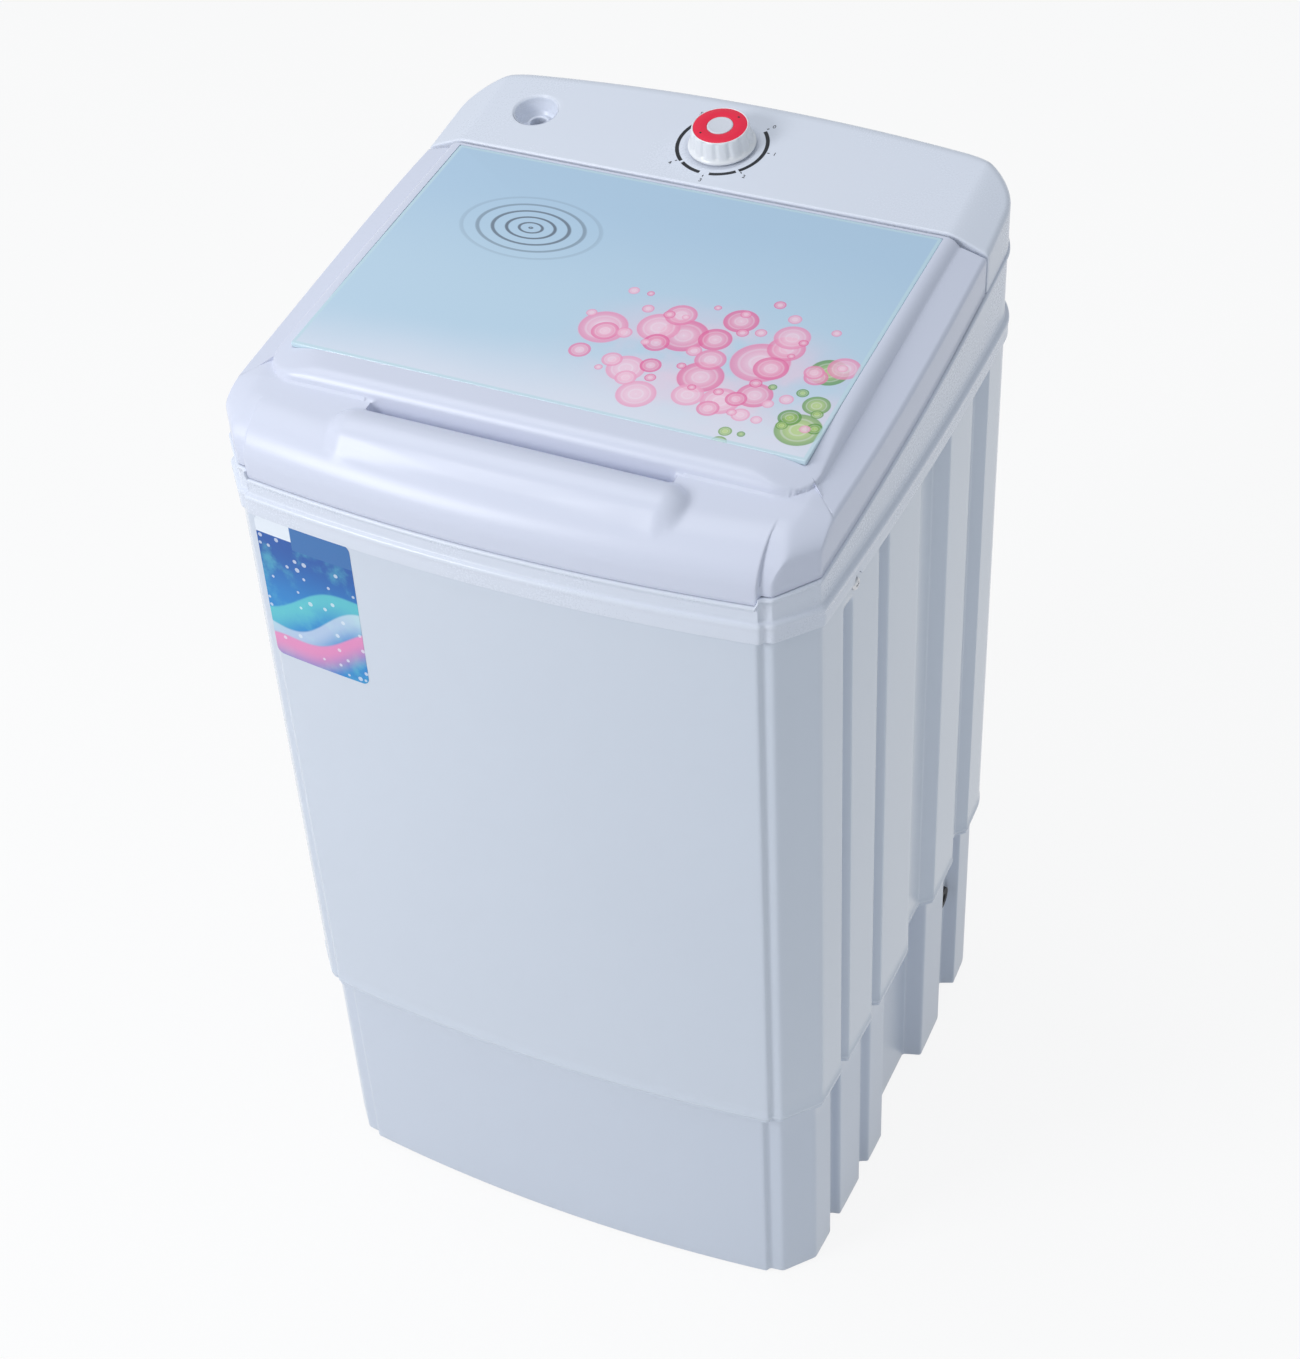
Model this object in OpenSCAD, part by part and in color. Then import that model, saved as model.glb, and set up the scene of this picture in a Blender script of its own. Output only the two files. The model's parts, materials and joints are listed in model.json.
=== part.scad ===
// Single-tub spin dryer: a square plastic cabinet on a stepped base, a hinged
// glass-topped lid in front of a timer panel, and inside it a perforated
// basket that a spring-hung motor spins directly.
// X runs to the right, Y to the back, Z up; the origin is on the floor in the
// middle of the outline.

/* [Base and cabinet] */
// Overall width of the base across its bowed sides
base_w = 368; // [340:1:445]
// Overall depth of the base across its bowed front and back
base_d = 375; // [360:1:450]
// How far the front and back bow out over the width of the panel
front_bow = 9.8; // [5:0.1:14]
// How far the sides bow out over their length
side_bow = 3.8; // [2:0.1:8]
// Distance of the front panel's edge steps from the sides of the base
panel_side = 30; // [24:1:44]
// Depth of the step at each edge of the front panel
panel_step = 3; // [1.5:0.1:5]
// How much each corner chamfer cuts off the square corner
corner_depth = 24.5; // [20:0.5:30]
// Direction of a corner chamfer's normal, from the X axis
corner_angle = 40; // [36:1:44]
// Height of the underside edge of the base above the floor
edge_h = 2; // [1:0.5:4]
// Height of the seam between the base and the cabinet
seam_z = 171; // [165:1:206]
// Height of the cabinet's walls above the seam
cabinet_h = 413; // [400:1:500]
// How far the cabinet stands out from the base
cabinet_out = 6; // [4:0.5:8]
// Wall of the cabinet
cabinet_wall = 2.5; // [2:0.1:3]
// Wall of the base
base_wall = 3; // [2.5:0.1:4]

/* [Top frame] */
// Height of the top frame's skirt below its bright bead
skirt_h = 13.5; // [11:0.5:17]
// How far the bead stands out from the base
bead_out = 8.5; // [8:0.1:10]
// Height of the sloping rim above the bead, at the middle of the outline
rim_h = 33.6; // [32:0.1:38]
// Slope of the rim towards the front
rim_slope = 5.6; // [4:0.1:7]
// Height of the rim above the bead along the front panel
rim_front_h = 11; // [9:0.5:14]
// How far the edge of the round mouth stands inside the basket's wall
mouth_lap = 25; // [22:1:40]

/* [Lid] */
// Height of the glass above the rim, at the middle of the outline
lid_h = 38.3; // [36:0.1:46]
// Slope of the glass towards the front
glass_slope = 4.5; // [3:0.1:6]
// Distance of the glass from each side of the base
glass_side = 22.2; // [21:0.1:34]
// Distance of the glass's front edge behind the front of the base
glass_inset = 70.5; // [66:0.5:88]
// Width of the lid's strip behind the glass
glass_strip = 2.9; // [2.3:0.1:10]
// Thickness of the glass
glass_t = 3; // [2.5:0.1:4]
// Gap between the lid and the control panel
panel_gap = 2.5; // [1.8:0.1:3.8]
// Wall of the lid
lid_wall = 2.5; // [2:0.1:3]
// Half length of the straight part of the handle
handle_l = 96; // [70:1:110]
// Radius of the handle bulge
handle_r = 18; // [16:0.5:19]
// How far the lid opens
lid_open = 95; // [70:1:95]

/* [Panel and knob] */
// Depth of the control panel, from its front edge to the back of the base
panel_depth = 84.7; // [82:0.1:88]
// Slope of the control panel towards the front
panel_slope = 10; // [6:0.5:14]
// Distance of the knob and the water inlet behind the panel's front edge
knob_back = 40; // [36:0.5:44]
// Radius of the knob at its foot
knob_r = 21.5; // [18:0.5:24]
// Height of the knob
knob_h = 14.5; // [12:0.5:20]
// Radius of the water inlet cup
inlet_r = 14.4; // [12:0.2:16]
// Distance of the water inlet from the left side of the base
inlet_side = 54; // [49:1:74]

/* [Tub and basket] */
// Distance of the basket's axis in front of the middle of the outline
tub_front = 22; // [16:1:26]
// Gap between the outer tub and the sides of the base
tub_side = 30; // [28:0.5:36]
// Least gap between the outer tub and the front of the base
tub_inset = 11.5; // [9:0.5:16]
// Wall of the outer tub
tub_wall = 2.5; // [2:0.1:3]
// Gap between the brake drum and the outer tub's floor
drum_gap = 30; // [26:1:40]
// Gap between the basket and the wall of the outer tub
basket_gap = 16.5; // [13:0.5:22]
// Wall of the basket
basket_wall = 2.2; // [1.8:0.1:3]
// Gap between the balance ring and the top frame's shelf
ring_gap = 8; // [6:0.5:14]
// Radius of one drain hole in the basket
hole_r = 3; // [2:0.5:4]
// Number of columns of drain holes
hole_columns = 12; // [8:2:24]
// Number of rows of drain holes
hole_rows = 6; // [4:1:10]

/* [Motor and suspension] */
// Outside radius of the motor's laminations
motor_r = 56; // [50:0.5:68]
// Radius of the motor shaft and drive shaft
shaft_r = 6; // [5:0.5:8]
// Radius of the brake drum
drum_r = 42; // [36:0.5:51]
// Distance of the three springs from the motor's axis
spring_reach = 92; // [84:1:98]
// Mean radius of a suspension spring's coil
spring_r = 9.5; // [8:0.5:11]
// Wire radius of a suspension spring
spring_wire = 1.3; // [1:0.1:1.6]

/* [Hidden] */

// Colours
shell_colour = [0.86, 0.89, 0.94];
deck_colour = [0.87, 0.86, 0.89];
lid_colour = [0.90, 0.90, 0.97];
rubber_colour = [0.10, 0.10, 0.11];
metal_colour = [0.72, 0.73, 0.75];
tub_colour = [0.80, 0.84, 0.88];

// Clearances and seats
fit = 0.3;          // clearance between pieces that nest
run = 0.05;         // radial clearance of a running fit
floor_t = 3;        // thickness of the base floor
floor_z = edge_h + 6;   // underside of the base floor
floor_top = floor_z + floor_t;
big = 1000;

// Heights of the top frame and the lid
cabinet_top = seam_z + cabinet_h;
bead_h = 4;
bead_z = cabinet_top + bead_h;
skirt_z = bead_z - skirt_h;
rim_z = bead_z + rim_h;
rim_front_z = bead_z + rim_front_h;
glass_z = rim_z + lid_h;
low_z = bead_z - 28;    // below all of the lid and the panel

// ---- Outline of the base, the cabinet and the top frame ----------------
half_w = base_w / 2;
half_d = base_d / 2;
panel_w = base_w - 2 * panel_side;
corner_reach = half_w * cos(corner_angle) + half_d * sin(corner_angle) - corner_depth;
side_run = half_d - 31;     // half length of a side face
front_arc = (pow(panel_w / 2, 2) + pow(front_bow, 2)) / (2 * front_bow);
side_arc = (pow(side_run, 2) + pow(side_bow, 2)) / (2 * side_bow);

// Two points far out on the line that cuts one corner off the outline
function corner_line(e) =
    let (n = [cos(corner_angle), sin(corner_angle)], d = corner_reach + e)
    [for (s = [-1, 1]) [d * n[0] - s * big * n[1], d * n[1] + s * big * n[0]]];

module corner_cut(e) {
    line = corner_line(e);
    far = [cos(corner_angle), sin(corner_angle)] * big;
    polygon([line[0], line[1], line[1] + far, line[0] + far]);
}

// The outline without ribs, standing e outside the base
module plan(e) {
    difference() {
        intersection() {
            intersection() {
                translate([half_w - side_arc, 0]) circle(side_arc + e, $fn = 720);
                translate([side_arc - half_w, 0]) circle(side_arc + e, $fn = 720);
            }
            union() {
                front_back(e - panel_step);
                intersection() {
                    front_back(e);
                    square([panel_w + 2 * e, 3 * base_d], center = true);
                }
            }
        }
        for (sx = [0, 1], sy = [0, 1])
            mirror([sx, 0]) mirror([0, sy]) corner_cut(e);
    }
}

module front_back(e) {
    intersection() {
        translate([0, half_d - front_arc]) circle(front_arc + e, $fn = 720);
        translate([0, front_arc - half_d]) circle(front_arc + e, $fn = 720);
    }
}

// ---- Ribs: grooves down the sides ---------------------------------------
// Each groove: start, end, depth below the crown of the side, run of the
// near wall, run of the far wall, height of its top
cabinet_grooves = [
    [60.5 - half_d, 74.5 - half_d, 8.5, 2, 4, skirt_z - 12.5],
    [112.5 - half_d, 127.5 - half_d, 7.5, 2, 4, big],
    [-10, 43, 8.7, 24, 8, big],
    [half_d - 103.5, half_d - 67.5, 8.7, 3, 10, big]];
base_grooves = [
    [57.5 - half_d, 74.5 - half_d, 9, 2, 2, big],
    [108.5 - half_d, 125.5 - half_d, 6.5, 2, 3, big],
    [-36, 45, 13, 3, 4, big],
    [half_d - 102.5, half_d - 64.5, 12, 3, 5, big]];

// Outline of one groove on a wall whose crown stands e outside the base,
// grown by t all round
module groove(g, e, t) {
    crown = half_w + e;
    d = g[2];
    near = t * sqrt(d * d + g[3] * g[3]) / d;
    far = t * sqrt(d * d + g[4] * g[4]) / d;
    out = 6;
    polygon([
        [crown + out, g[0] - g[3] * out / d - near],
        [crown - d - t, g[0] + g[3] * (d + t) / d - near],
        [crown - d - t, g[1] - g[4] * (d + t) / d + far],
        [crown + out, g[1] + g[4] * out / d + far]]);
}

// A ribbed prism: the outline at e less t, with the grooves grown by t
module ribbed(e, t, grooves, z0, z1) {
    difference() {
        translate([0, 0, z0]) linear_extrude(z1 - z0) plan(e - t);
        for (g = grooves, s = [0, 1])
            mirror([s, 0, 0]) translate([0, 0, z0 - 1])
                linear_extrude(min(z1 + 1, g[5] + t) - z0 + 1) groove(g, e, t);
    }
}

// Everything below a plane that crosses the middle of the outline at z and
// rises by slope towards the back
module below(z, slope) {
    translate([0, 0, z]) rotate([slope, 0, 0])
        translate([-big / 2, -big / 2, -big]) cube(big);
}

module above(z, slope) {
    translate([0, 0, z]) rotate([slope, 0, 0])
        translate([-big / 2, -big / 2, 0]) cube(big);
}

module tube(r_out, r_in, h) {
    difference() {
        cylinder(r = r_out, h = h);
        translate([0, 0, -1]) cylinder(r = r_in, h = h + 2);
    }
}

$fn = 96;
axis = [0, -tub_front, 0];
tub_r = min(half_w - tub_side, half_d - tub_front - tub_inset);
basket_r = tub_r - tub_wall - basket_gap;
mouth_r = basket_r - mouth_lap;

// ---- Heights of the motor, the drum and the tub ---------------------------
plate_z = floor_top + 27;
plate_t = 3;
lower_z = plate_z + plate_t;
core_z = lower_z + 33;
core_h = 38;
bell_top = core_z + core_h + 26;
drum_z = bell_top + 12;
drum_h = 20;
tub_z = drum_z + drum_h + drum_gap;

// ---- Base ----------------------------------------------------------------
flange_t = 2.5;
neck_h = 10;        // the neck that stands inside the cabinet
neck_in = 8;
foot_x = half_w - 44;
foot_y = half_d - 47;
foot_r = 13;
peg_r = 3;
spring_angles = [90, 210, 330];
cup_peg_r = 5;
drain_x = 60;
drain_r = 11;
drain_reach = tub_r - 28.7;     // of the drain, from the tub's axis
drain_y = sqrt(pow(drain_reach, 2) - pow(drain_x, 2)) - tub_front;
drain_out_z = 52;
gland_y = base_grooves[3][1] - 15;
gland_z = 106;
gland_r = 6;
base_screw_z = seam_z + 5;

// The opening inside the neck that locates the cabinet
module neck_bore(z) {
    translate([0, 0, z]) linear_extrude(seam_z + 100 - z) plan(-neck_in - flange_t);
}

module base() {
    color(shell_colour) difference() {
        union() {
            ribbed(0, 0, base_grooves, edge_h, seam_z - flange_t);
            ribbed(cabinet_out - 0.5, 0, cabinet_grooves, seam_z - flange_t, seam_z);
            translate([0, 0, seam_z - 1]) linear_extrude(neck_h + 1) plan(-neck_in);
        }
        ribbed(0, base_wall, base_grooves, edge_h - 1, floor_z);
        ribbed(0, base_wall, base_grooves, floor_top, seam_z - flange_t);
        intersection() {
            ribbed(0, base_wall, base_grooves, floor_top, seam_z);
            neck_bore(0);
        }
        neck_bore(seam_z);
        for (sx = [-1, 1], sy = [-1, 1])
            translate([sx * foot_x, sy * foot_y, 0]) cylinder(r = peg_r + run, h = 20);
        translate([drain_x, half_d - 30, drain_out_z])
            rotate([-90, 0, 0]) cylinder(r = drain_r + fit, h = 60);
        translate([half_w - 30, gland_y, gland_z])
            rotate([0, 90, 0]) cylinder(r = gland_r + run, h = 60);
        base_screw_places() cylinder(r = 1.8 + run, h = 20, center = true);
    }
    color(shell_colour) translate(axis) for (a = spring_angles)
        rotate(a) translate([spring_reach, 0, floor_top]) cylinder(r = cup_peg_r, h = 7);
}

module feet() {
    color(rubber_colour) for (sx = [-1, 1], sy = [-1, 1])
        translate([sx * foot_x, sy * foot_y, 0]) {
            cylinder(r = foot_r, h = floor_z);
            cylinder(r = peg_r, h = floor_top + 2);
            translate([0, 0, floor_top]) cylinder(r1 = peg_r + 1.2, r2 = peg_r - 1, h = 3);
        }
}

// ---- Cabinet ---------------------------------------------------------------
screw_y = half_d - 75.5;        // side screws, in front of the middle
screw_back_x = half_w - 64;     // screws in the back
screw_z = skirt_z - 3.5;
screw_r = 2;
screw_head_r = 4.6;
screw_side = half_w + cabinet_out - side_arc + sqrt(pow(side_arc, 2) - pow(screw_y, 2));
screw_back = half_d + cabinet_out - front_arc + sqrt(pow(front_arc, 2) - pow(screw_back_x, 2));

// The places of the four screws, each turned to face outwards
module screw_places() {
    side_turn = asin(screw_y / (side_arc + cabinet_out));
    back_turn = asin(screw_back_x / (front_arc + cabinet_out));
    for (s = [-1, 1]) {
        translate([s * screw_side, -screw_y, screw_z])
            rotate(90 - 90 * s - s * side_turn) rotate([0, 90, 0]) children();
        translate([s * screw_back_x, screw_back, screw_z])
            rotate(90 - s * back_turn) rotate([0, 90, 0]) children();
    }
}

module base_screw_places() {
    for (sx = [-1, 1], sy = [-60, 60])
        translate([sx * (half_w - 9.5), sy, base_screw_z])
            rotate([0, sx * 90, 0]) children();
}

module cabinet() {
    color(shell_colour) difference() {
        ribbed(cabinet_out, 0, cabinet_grooves, seam_z, cabinet_top);
        ribbed(cabinet_out, cabinet_wall, cabinet_grooves, seam_z - 1, cabinet_top + 1);
        screw_places() cylinder(r = screw_r + run, h = 20, center = true);
    }
}

// ---- Top frame ---------------------------------------------------------------
band_out = bead_out - 2;
band_wall = 2.5;
lip_out = band_out + 0.9;   // the lip along the rim's upper edge
lip_h = 2.4;
shelf_z = cabinet_top;
shelf_t = 3;
panel_y = half_d - panel_depth;
lid_back = panel_y - panel_gap;
hinge_y = lid_back - 8.3;
hinge_z = glass_z + tan(glass_slope) * hinge_y - 10.14;
lug_x = half_w - 44;
lug_t = 5;
lug_r = 4;
pin_r = 2;
bulkhead_y = panel_y + 6.2;
bulkhead_t = 2.5;
bulkhead_top = rim_z + 4.4;

module deck_ring(out, in, z0, z1) {
    translate([0, 0, z0]) linear_extrude(z1 - z0) difference() {
        plan(out);
        plan(in);
    }
}

module deck() {
    color(deck_colour) difference() {
        union() {
            deck_ring(bead_out, cabinet_out + fit, skirt_z, shelf_z);
            translate([0, 0, shelf_z]) linear_extrude(bead_h) plan(bead_out);
            translate([0, 0, bead_z]) linear_extrude(2) plan(bead_out - 1);
            intersection() {
                translate([0, 0, bead_z]) linear_extrude(70) plan(band_out);
                below(rim_z, rim_slope);
            }
            intersection() {
                translate([0, 0, bead_z]) linear_extrude(70) plan(lip_out);
                rim_strip();
            }
            translate(axis + [0, 0, shelf_z - 18])
                cylinder(r = mouth_r + 2.5, h = 20);
            deck_tabs();
        }
        // the basin under the lid and the dry bay under the panel
        translate([0, 0, shelf_z + shelf_t]) linear_extrude(100) difference() {
            plan(band_out - band_wall);
            translate([-big / 2, bulkhead_y]) square([big, bulkhead_t]);
        }
        // the bulkhead stops under the panel
        translate([-half_w + 6, bulkhead_y - 1, bulkhead_top]) cube([base_w - 12, 5, 50]);
        front_room(rim_front_z, 60);
        translate(axis + [0, 0, shelf_z - 20]) cylinder(r = mouth_r, h = 60);
        screw_places() translate([0, 0, -30]) cylinder(r = screw_r, h = 40);
        screw_places() translate([0, 0, 0.05]) cylinder(r = screw_head_r + 1, h = 20);
    }
    color(deck_colour) for (s = [-1, 1]) hinge_lug(s * lug_x);
}

// The room over the front panel, where the rim is lower
module front_room(z, h) {
    translate([-panel_w / 2 - band_out, -half_d - 30, z])
        cube([panel_w + 2 * band_out, 30 + front_bow + 8, h]);
}

// The topmost part of the rim, which stands out as a lip
module rim_strip() {
    difference() {
        below(rim_z, rim_slope);
        below(rim_z - lip_h, rim_slope);
    }
    front_room(rim_front_z - lip_h, lip_h);
}

// Tabs that hang inside the cabinet and take the screws
module deck_tabs() {
    tab = 9;
    screw_places() translate([-shelf_z + screw_z - 0.5, -8, -cabinet_wall - fit - tab])
        cube([shelf_z - screw_z + 6, 16, tab]);
}

// A slender post on the shelf that carries one hinge pin
module hinge_lug(x) {
    post_w = 2 * lug_r;
    translate([x - lug_t / 2, 0, 0]) difference() {
        union() {
            translate([0, hinge_y, hinge_z]) rotate([0, 90, 0]) cylinder(r = lug_r, h = lug_t);
            translate([0, hinge_y - lug_r, shelf_z + shelf_t - 0.5])
                cube([lug_t, post_w, hinge_z - shelf_z - shelf_t + 0.5]);
            translate([0, hinge_y - 14, shelf_z + shelf_t - 0.5]) cube([lug_t, 22, 34]);
        }
        translate([-1, hinge_y, hinge_z]) rotate([0, 90, 0])
            cylinder(r = pin_r + run, h = lug_t + 2);
    }
}

module pan_screw(head_r, head_h, r, l) {
    cylinder(r1 = head_r, r2 = head_r - 1, h = head_h);
    translate([0, 0, -l]) cylinder(r = r, h = l + 0.5);
}

module deck_screws() {
    color("dimgray") screw_places() translate([0, 0, 0.1])
        pan_screw(screw_head_r, 2.4, screw_r, 10);
}

module base_screws() {
    color("dimgray") base_screw_places() translate([0, 0, 2.4]) pan_screw(3.6, 1.8, 1.8, 7);
}

// ---- Control panel -------------------------------------------------------------
inlet_x = half_w - inlet_side;
glass_w = base_w - 2 * glass_side;
panel_top_z = glass_z + tan(glass_slope) * (panel_y - 1);
shoulder_x = half_w + 3;          // where the shoulders turn down
panel_shoulder = [[glass_w / 2 + 2.4, 0], [shoulder_x - 17, -2.5], [shoulder_x - 7, -6.5],
                  [shoulder_x - 1, -9.3], [shoulder_x + 1, -11.4], [shoulder_x + 6, -20]];
panel_wall = 2.5;
panel_face = panel_y + 4.2;         // the recessed face under the front lip
lip_t = 2.2;

// A bar with mirrored shoulders, running along a slope through [0, y, z]
module shoulder_bar(y, z, slope, side, sink) {
    n = len(side);
    left = [for (i = [n - 1 : -1 : 0]) [-side[i][0], side[i][1]]];
    translate([0, y, z]) rotate([slope, 0, 0]) translate([0, 400, -sink])
        rotate([90, 0, 0]) linear_extrude(800)
            polygon(concat([[-side[n - 1][0], -150]], left, side, [[side[n - 1][0], -150]]));
}

// The panel's outer form, t inside its surface, with no front or underside
module panel_form(t) {
    intersection() {
        translate([0, 0, low_z]) linear_extrude(200) plan(band_out - t);
        shoulder_bar(panel_y, panel_top_z, panel_slope, panel_shoulder, t);
    }
}

// The frame of the panel's face at a distance behind its front edge
module on_panel(x, back) {
    translate([0, panel_y, panel_top_z]) rotate([panel_slope, 0, 0])
        translate([x, back, 0]) children();
}

module control_panel() {
    color(deck_colour) difference() {
        intersection() {
            panel_form(0);
            above(rim_z + 0.2, rim_slope);
            translate([-big / 2, panel_y, 0]) cube(big);
        }
        // the bay behind the panel's face
        intersection() {
            panel_form(panel_wall);
            translate([-big / 2, panel_face + panel_wall, 0]) cube(big);
        }
        // room under the lip for the back edge of the pad when the lid swings
        intersection() {
            panel_form(lip_t);
            translate([-glass_w / 2 - 10, 0, 0]) cube([glass_w + 20, panel_face, big]);
        }
        on_panel(-inlet_x, knob_back) cylinder(r = inlet_r + 0.2, h = 30, center = true);
        on_panel(0, knob_back) cylinder(r = 5, h = 30, center = true);
        translate([striker_x - 5, panel_face - 5, lever_z - 20]) cube([10, 15, 14]);
    }
}

inlet_h = 16;

module inlet_funnel() {
    color(deck_colour) on_panel(-inlet_x, knob_back) {
        rotate_extrude() polygon([
            [inlet_r, 0], [inlet_r - 1.4, 0], [inlet_r - 3.4, -9], [7.5, -inlet_h + 2.5],
            [7.5, -inlet_h + 6], [5.4, -inlet_h + 6], [5.4, -inlet_h - 10], [7.5, -inlet_h - 10],
            [7.5, -inlet_h], [inlet_r - 1.6, -11], [inlet_r, -3]]);
        translate([0, 0, -inlet_h - 26]) tube(7.5, 5.4, 16.5);
    }
}

// ---- Timer and knob ---------------------------------------------------------------
timer_shaft_r = 3;
timer_top = -panel_wall - 0.5;
knob_gap = 0.6;

module timer_case() {
    color("whitesmoke") on_panel(0, knob_back) difference() {
        union() {
            translate([-26, -20, timer_top - 26]) cube([52, 40, 26]);
            for (s = [-1, 1]) translate([s * 30, 0, timer_top - 3]) cylinder(r = 7, h = 3);
        }
        translate([0, 0, timer_top - 12]) cylinder(r = timer_shaft_r + run, h = 20);
        for (s = [-1, 1]) translate([s * 32, 0, timer_top - 4]) cylinder(r = 1.7, h = 5);
    }
}

module timer_shaft() {
    color(metal_colour) on_panel(0, knob_back) difference() {
        translate([0, 0, timer_top - 11.5]) cylinder(r = timer_shaft_r, h = 11.5 - timer_top + 10);
        translate([-5, timer_shaft_r - 1, 0.5]) cube([10, 3, 20]);
    }
}

flutes = 14;

module timer_knob() {
    color("white") on_panel(0, knob_back) translate([0, 0, knob_gap]) difference() {
        rotate_extrude() polygon([
            [0, knob_h - 1.4], [0, 10.1], [timer_shaft_r + run, 10.1], [timer_shaft_r + run, 0.4],
            [timer_shaft_r + 2, 0.4], [timer_shaft_r + 2, 9], [knob_r - 4.5, 9], [knob_r - 2.5, 0],
            [knob_r, 0], [knob_r, 1.6], [knob_r - 0.8, 2.2], [knob_r - 3.2, knob_h - 0.8],
            [knob_r - 4, knob_h], [knob_r - 4.2, knob_h - 1.4]]);
        for (i = [0 : flutes - 1]) rotate(i * 360 / flutes)
            translate([knob_r + 6.2, 0, 2.4]) rotate([0, -11, 0]) cylinder(r = 7, h = knob_h - 6);
    }
}

module knob_ring() {
    color("crimson") on_panel(0, knob_back) translate([0, 0, knob_gap + knob_h - 1.4])
        tube(knob_r - 4.2, 8.4, 1.2);
}

module knob_centre() {
    color("gainsboro") on_panel(0, knob_back) translate([0, 0, knob_gap + knob_h - 1.4])
        cylinder(r = 8.4, h = 1.5);
}

// ---- Lid ----------------------------------------------------------------------------
lid_gap = 1.5;
lid_out = cabinet_out;
glass_front = glass_inset - half_d;
glass_back = lid_back - glass_strip;
pad_y = 48.5 - half_d;    // foot of the glass pad's front edge
pad_z = glass_z + tan(glass_slope) * pad_y - 8.96;
brow_y = 23.5 - half_d;   // the top between the pad and the nose
brow_z = pad_z - 4.4;
nose_y = 12.2 - half_d;   // centre of the rounded nose
nose_z = rim_front_z + 18;
nose_r = 15;
handle_y = 28 - half_d;
handle_z = rim_front_z + 27;
slot_y = 44 - half_d;
slot_w = 9;
slot_z = rim_front_z + 31;    // floor of the finger slot
lid_shoulder = [[glass_w / 2 + 0.7, 0], [shoulder_x - 21.5, -1], [shoulder_x - 17.5, -4.5],
                [shoulder_x - 15.5, -8.5], [shoulder_x, -12.7], [shoulder_x + 6, -21]];
// Section of the rounded front corners: distance inside the chamfer, height
lid_corner = [[0, nose_z + 7], [3, nose_z + 13], [10, nose_z + 18.5], [23, nose_z + 24]];

// The side view of the lid: glass plane, pad, brow and rounded nose
module lid_side(t) {
    rise = tan(glass_slope);
    polygon([[base_d, glass_z + rise * base_d - t],
             [pad_y + 21, glass_z + rise * (pad_y + 21) - t],
             [pad_y + 6, glass_z + rise * pad_y - 2 - t],
             [pad_y + 1.5 + t / 2, pad_z + 4.5 - t], [pad_y + t / 2, pad_z - t],
             [brow_y, brow_z - t],
             [nose_y + nose_r * sin(20), nose_z + nose_r * cos(20) - t],
             [nose_y, nose_z], [nose_y - nose_r + t, nose_z],
             [nose_y - nose_r + t, low_z], [base_d, low_z]]);
    translate([nose_y, nose_z]) circle(nose_r - t);
}

// The front corners roll over from the chamfer to the top
module corner_roll(t) {
    out = corner_reach + lid_out - t;
    section = [for (c = lid_corner) [out - c[0], c[1] - t]];
    intersection_for (s = [0, 1]) mirror([s, 0, 0])
        rotate(-corner_angle) rotate([90, 0, 0]) translate([0, 0, -300]) linear_extrude(600)
            polygon(concat([[-300, low_z], [out, low_z]], section, [[-300, low_z + 240]]));
}

module lid_solid(t) {
    intersection() {
        translate([0, 0, low_z]) linear_extrude(150) plan(lid_out - t);
        shoulder_bar(0, glass_z, glass_slope, lid_shoulder, t);
        corner_roll(t);
        rotate([90, 0, 90]) translate([0, 0, -300]) linear_extrude(600) lid_side(t);
        translate([-big / 2, lid_back - big - t, 0]) cube(big);
    }
}

module handle(t) {
    translate([0, handle_y, handle_z]) {
        rotate([0, 90, 0]) cylinder(r = handle_r - t, h = 2 * handle_l, center = true);
        for (s = [-1, 1]) translate([s * handle_l, 0, 0]) sphere(r = handle_r - t);
    }
}

module finger_slot(grow, depth) {
    translate([0, slot_y, slot_z - depth])
        linear_extrude(60) {
            square([2 * handle_l - slot_w, slot_w + 2 * grow], center = true);
            for (s = [-1, 1]) translate([s * (handle_l - slot_w / 2), 0])
                circle(slot_w / 2 + grow);
        }
}

module lid_frame() {
    color(lid_colour) difference() {
        union() {
            difference() {
                union() {
                    lid_solid(0);
                    intersection() {
                        handle(0);
                        translate([0, 0, low_z]) linear_extrude(150) plan(lid_out);
                    }
                }
                difference() {
                    union() {
                        lid_solid(lid_wall);
                        handle(lid_wall);
                    }
                    finger_slot(lid_wall, lid_wall);
                }
                lid_bottom();
            }
            lid_hinge_ribs();
        }
        finger_slot(0, 0);
        glass_seat();
        lug_slots();
        hinge_bore();
    }
}

// Everything below the lid's lower edge
module lid_bottom() {
    difference() {
        union() {
            below(rim_z + lid_gap, rim_slope);
            translate([-panel_w / 2 - lid_out, -half_d - 30, low_z])
                cube([panel_w + 2 * lid_out, 30 + front_bow + 8, rim_front_z + lid_gap - low_z]);
        }
        translate([-panel_w / 2 - lid_out, -half_d - 30, rim_front_z + lid_gap])
            cube([panel_w + 2 * lid_out, 30 + front_bow + 8, 60]);
    }
}

// Ribs beside each hinge post that hold the pins
module lid_hinge_ribs() {
    for (s = [-1, 1], side = [-1, 1])
        translate([s * lug_x + side * (lug_t / 2 + 0.8 + 1.25) - 1.25, 0, 0]) {
            translate([0, hinge_y, hinge_z]) rotate([0, 90, 0]) cylinder(r = 4.2, h = 2.5);
            translate([0, hinge_y, hinge_z - 4.2]) cube([2.5, lid_back - hinge_y - 1, 10]);
        }
}

module hinge_bore() {
    translate([-big / 2, hinge_y, hinge_z]) rotate([0, 90, 0]) cylinder(r = pin_r, h = big);
}

// Slots in the back wall that pass the hinge posts when the lid swings
module lug_slots() {
    for (s = [-1, 1])
        translate([s * lug_x - lug_t / 2 - 0.8, lid_back - 12, low_z])
            cube([lug_t + 1.6, 20, hinge_z + 5.7 - low_z]);
}

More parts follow.
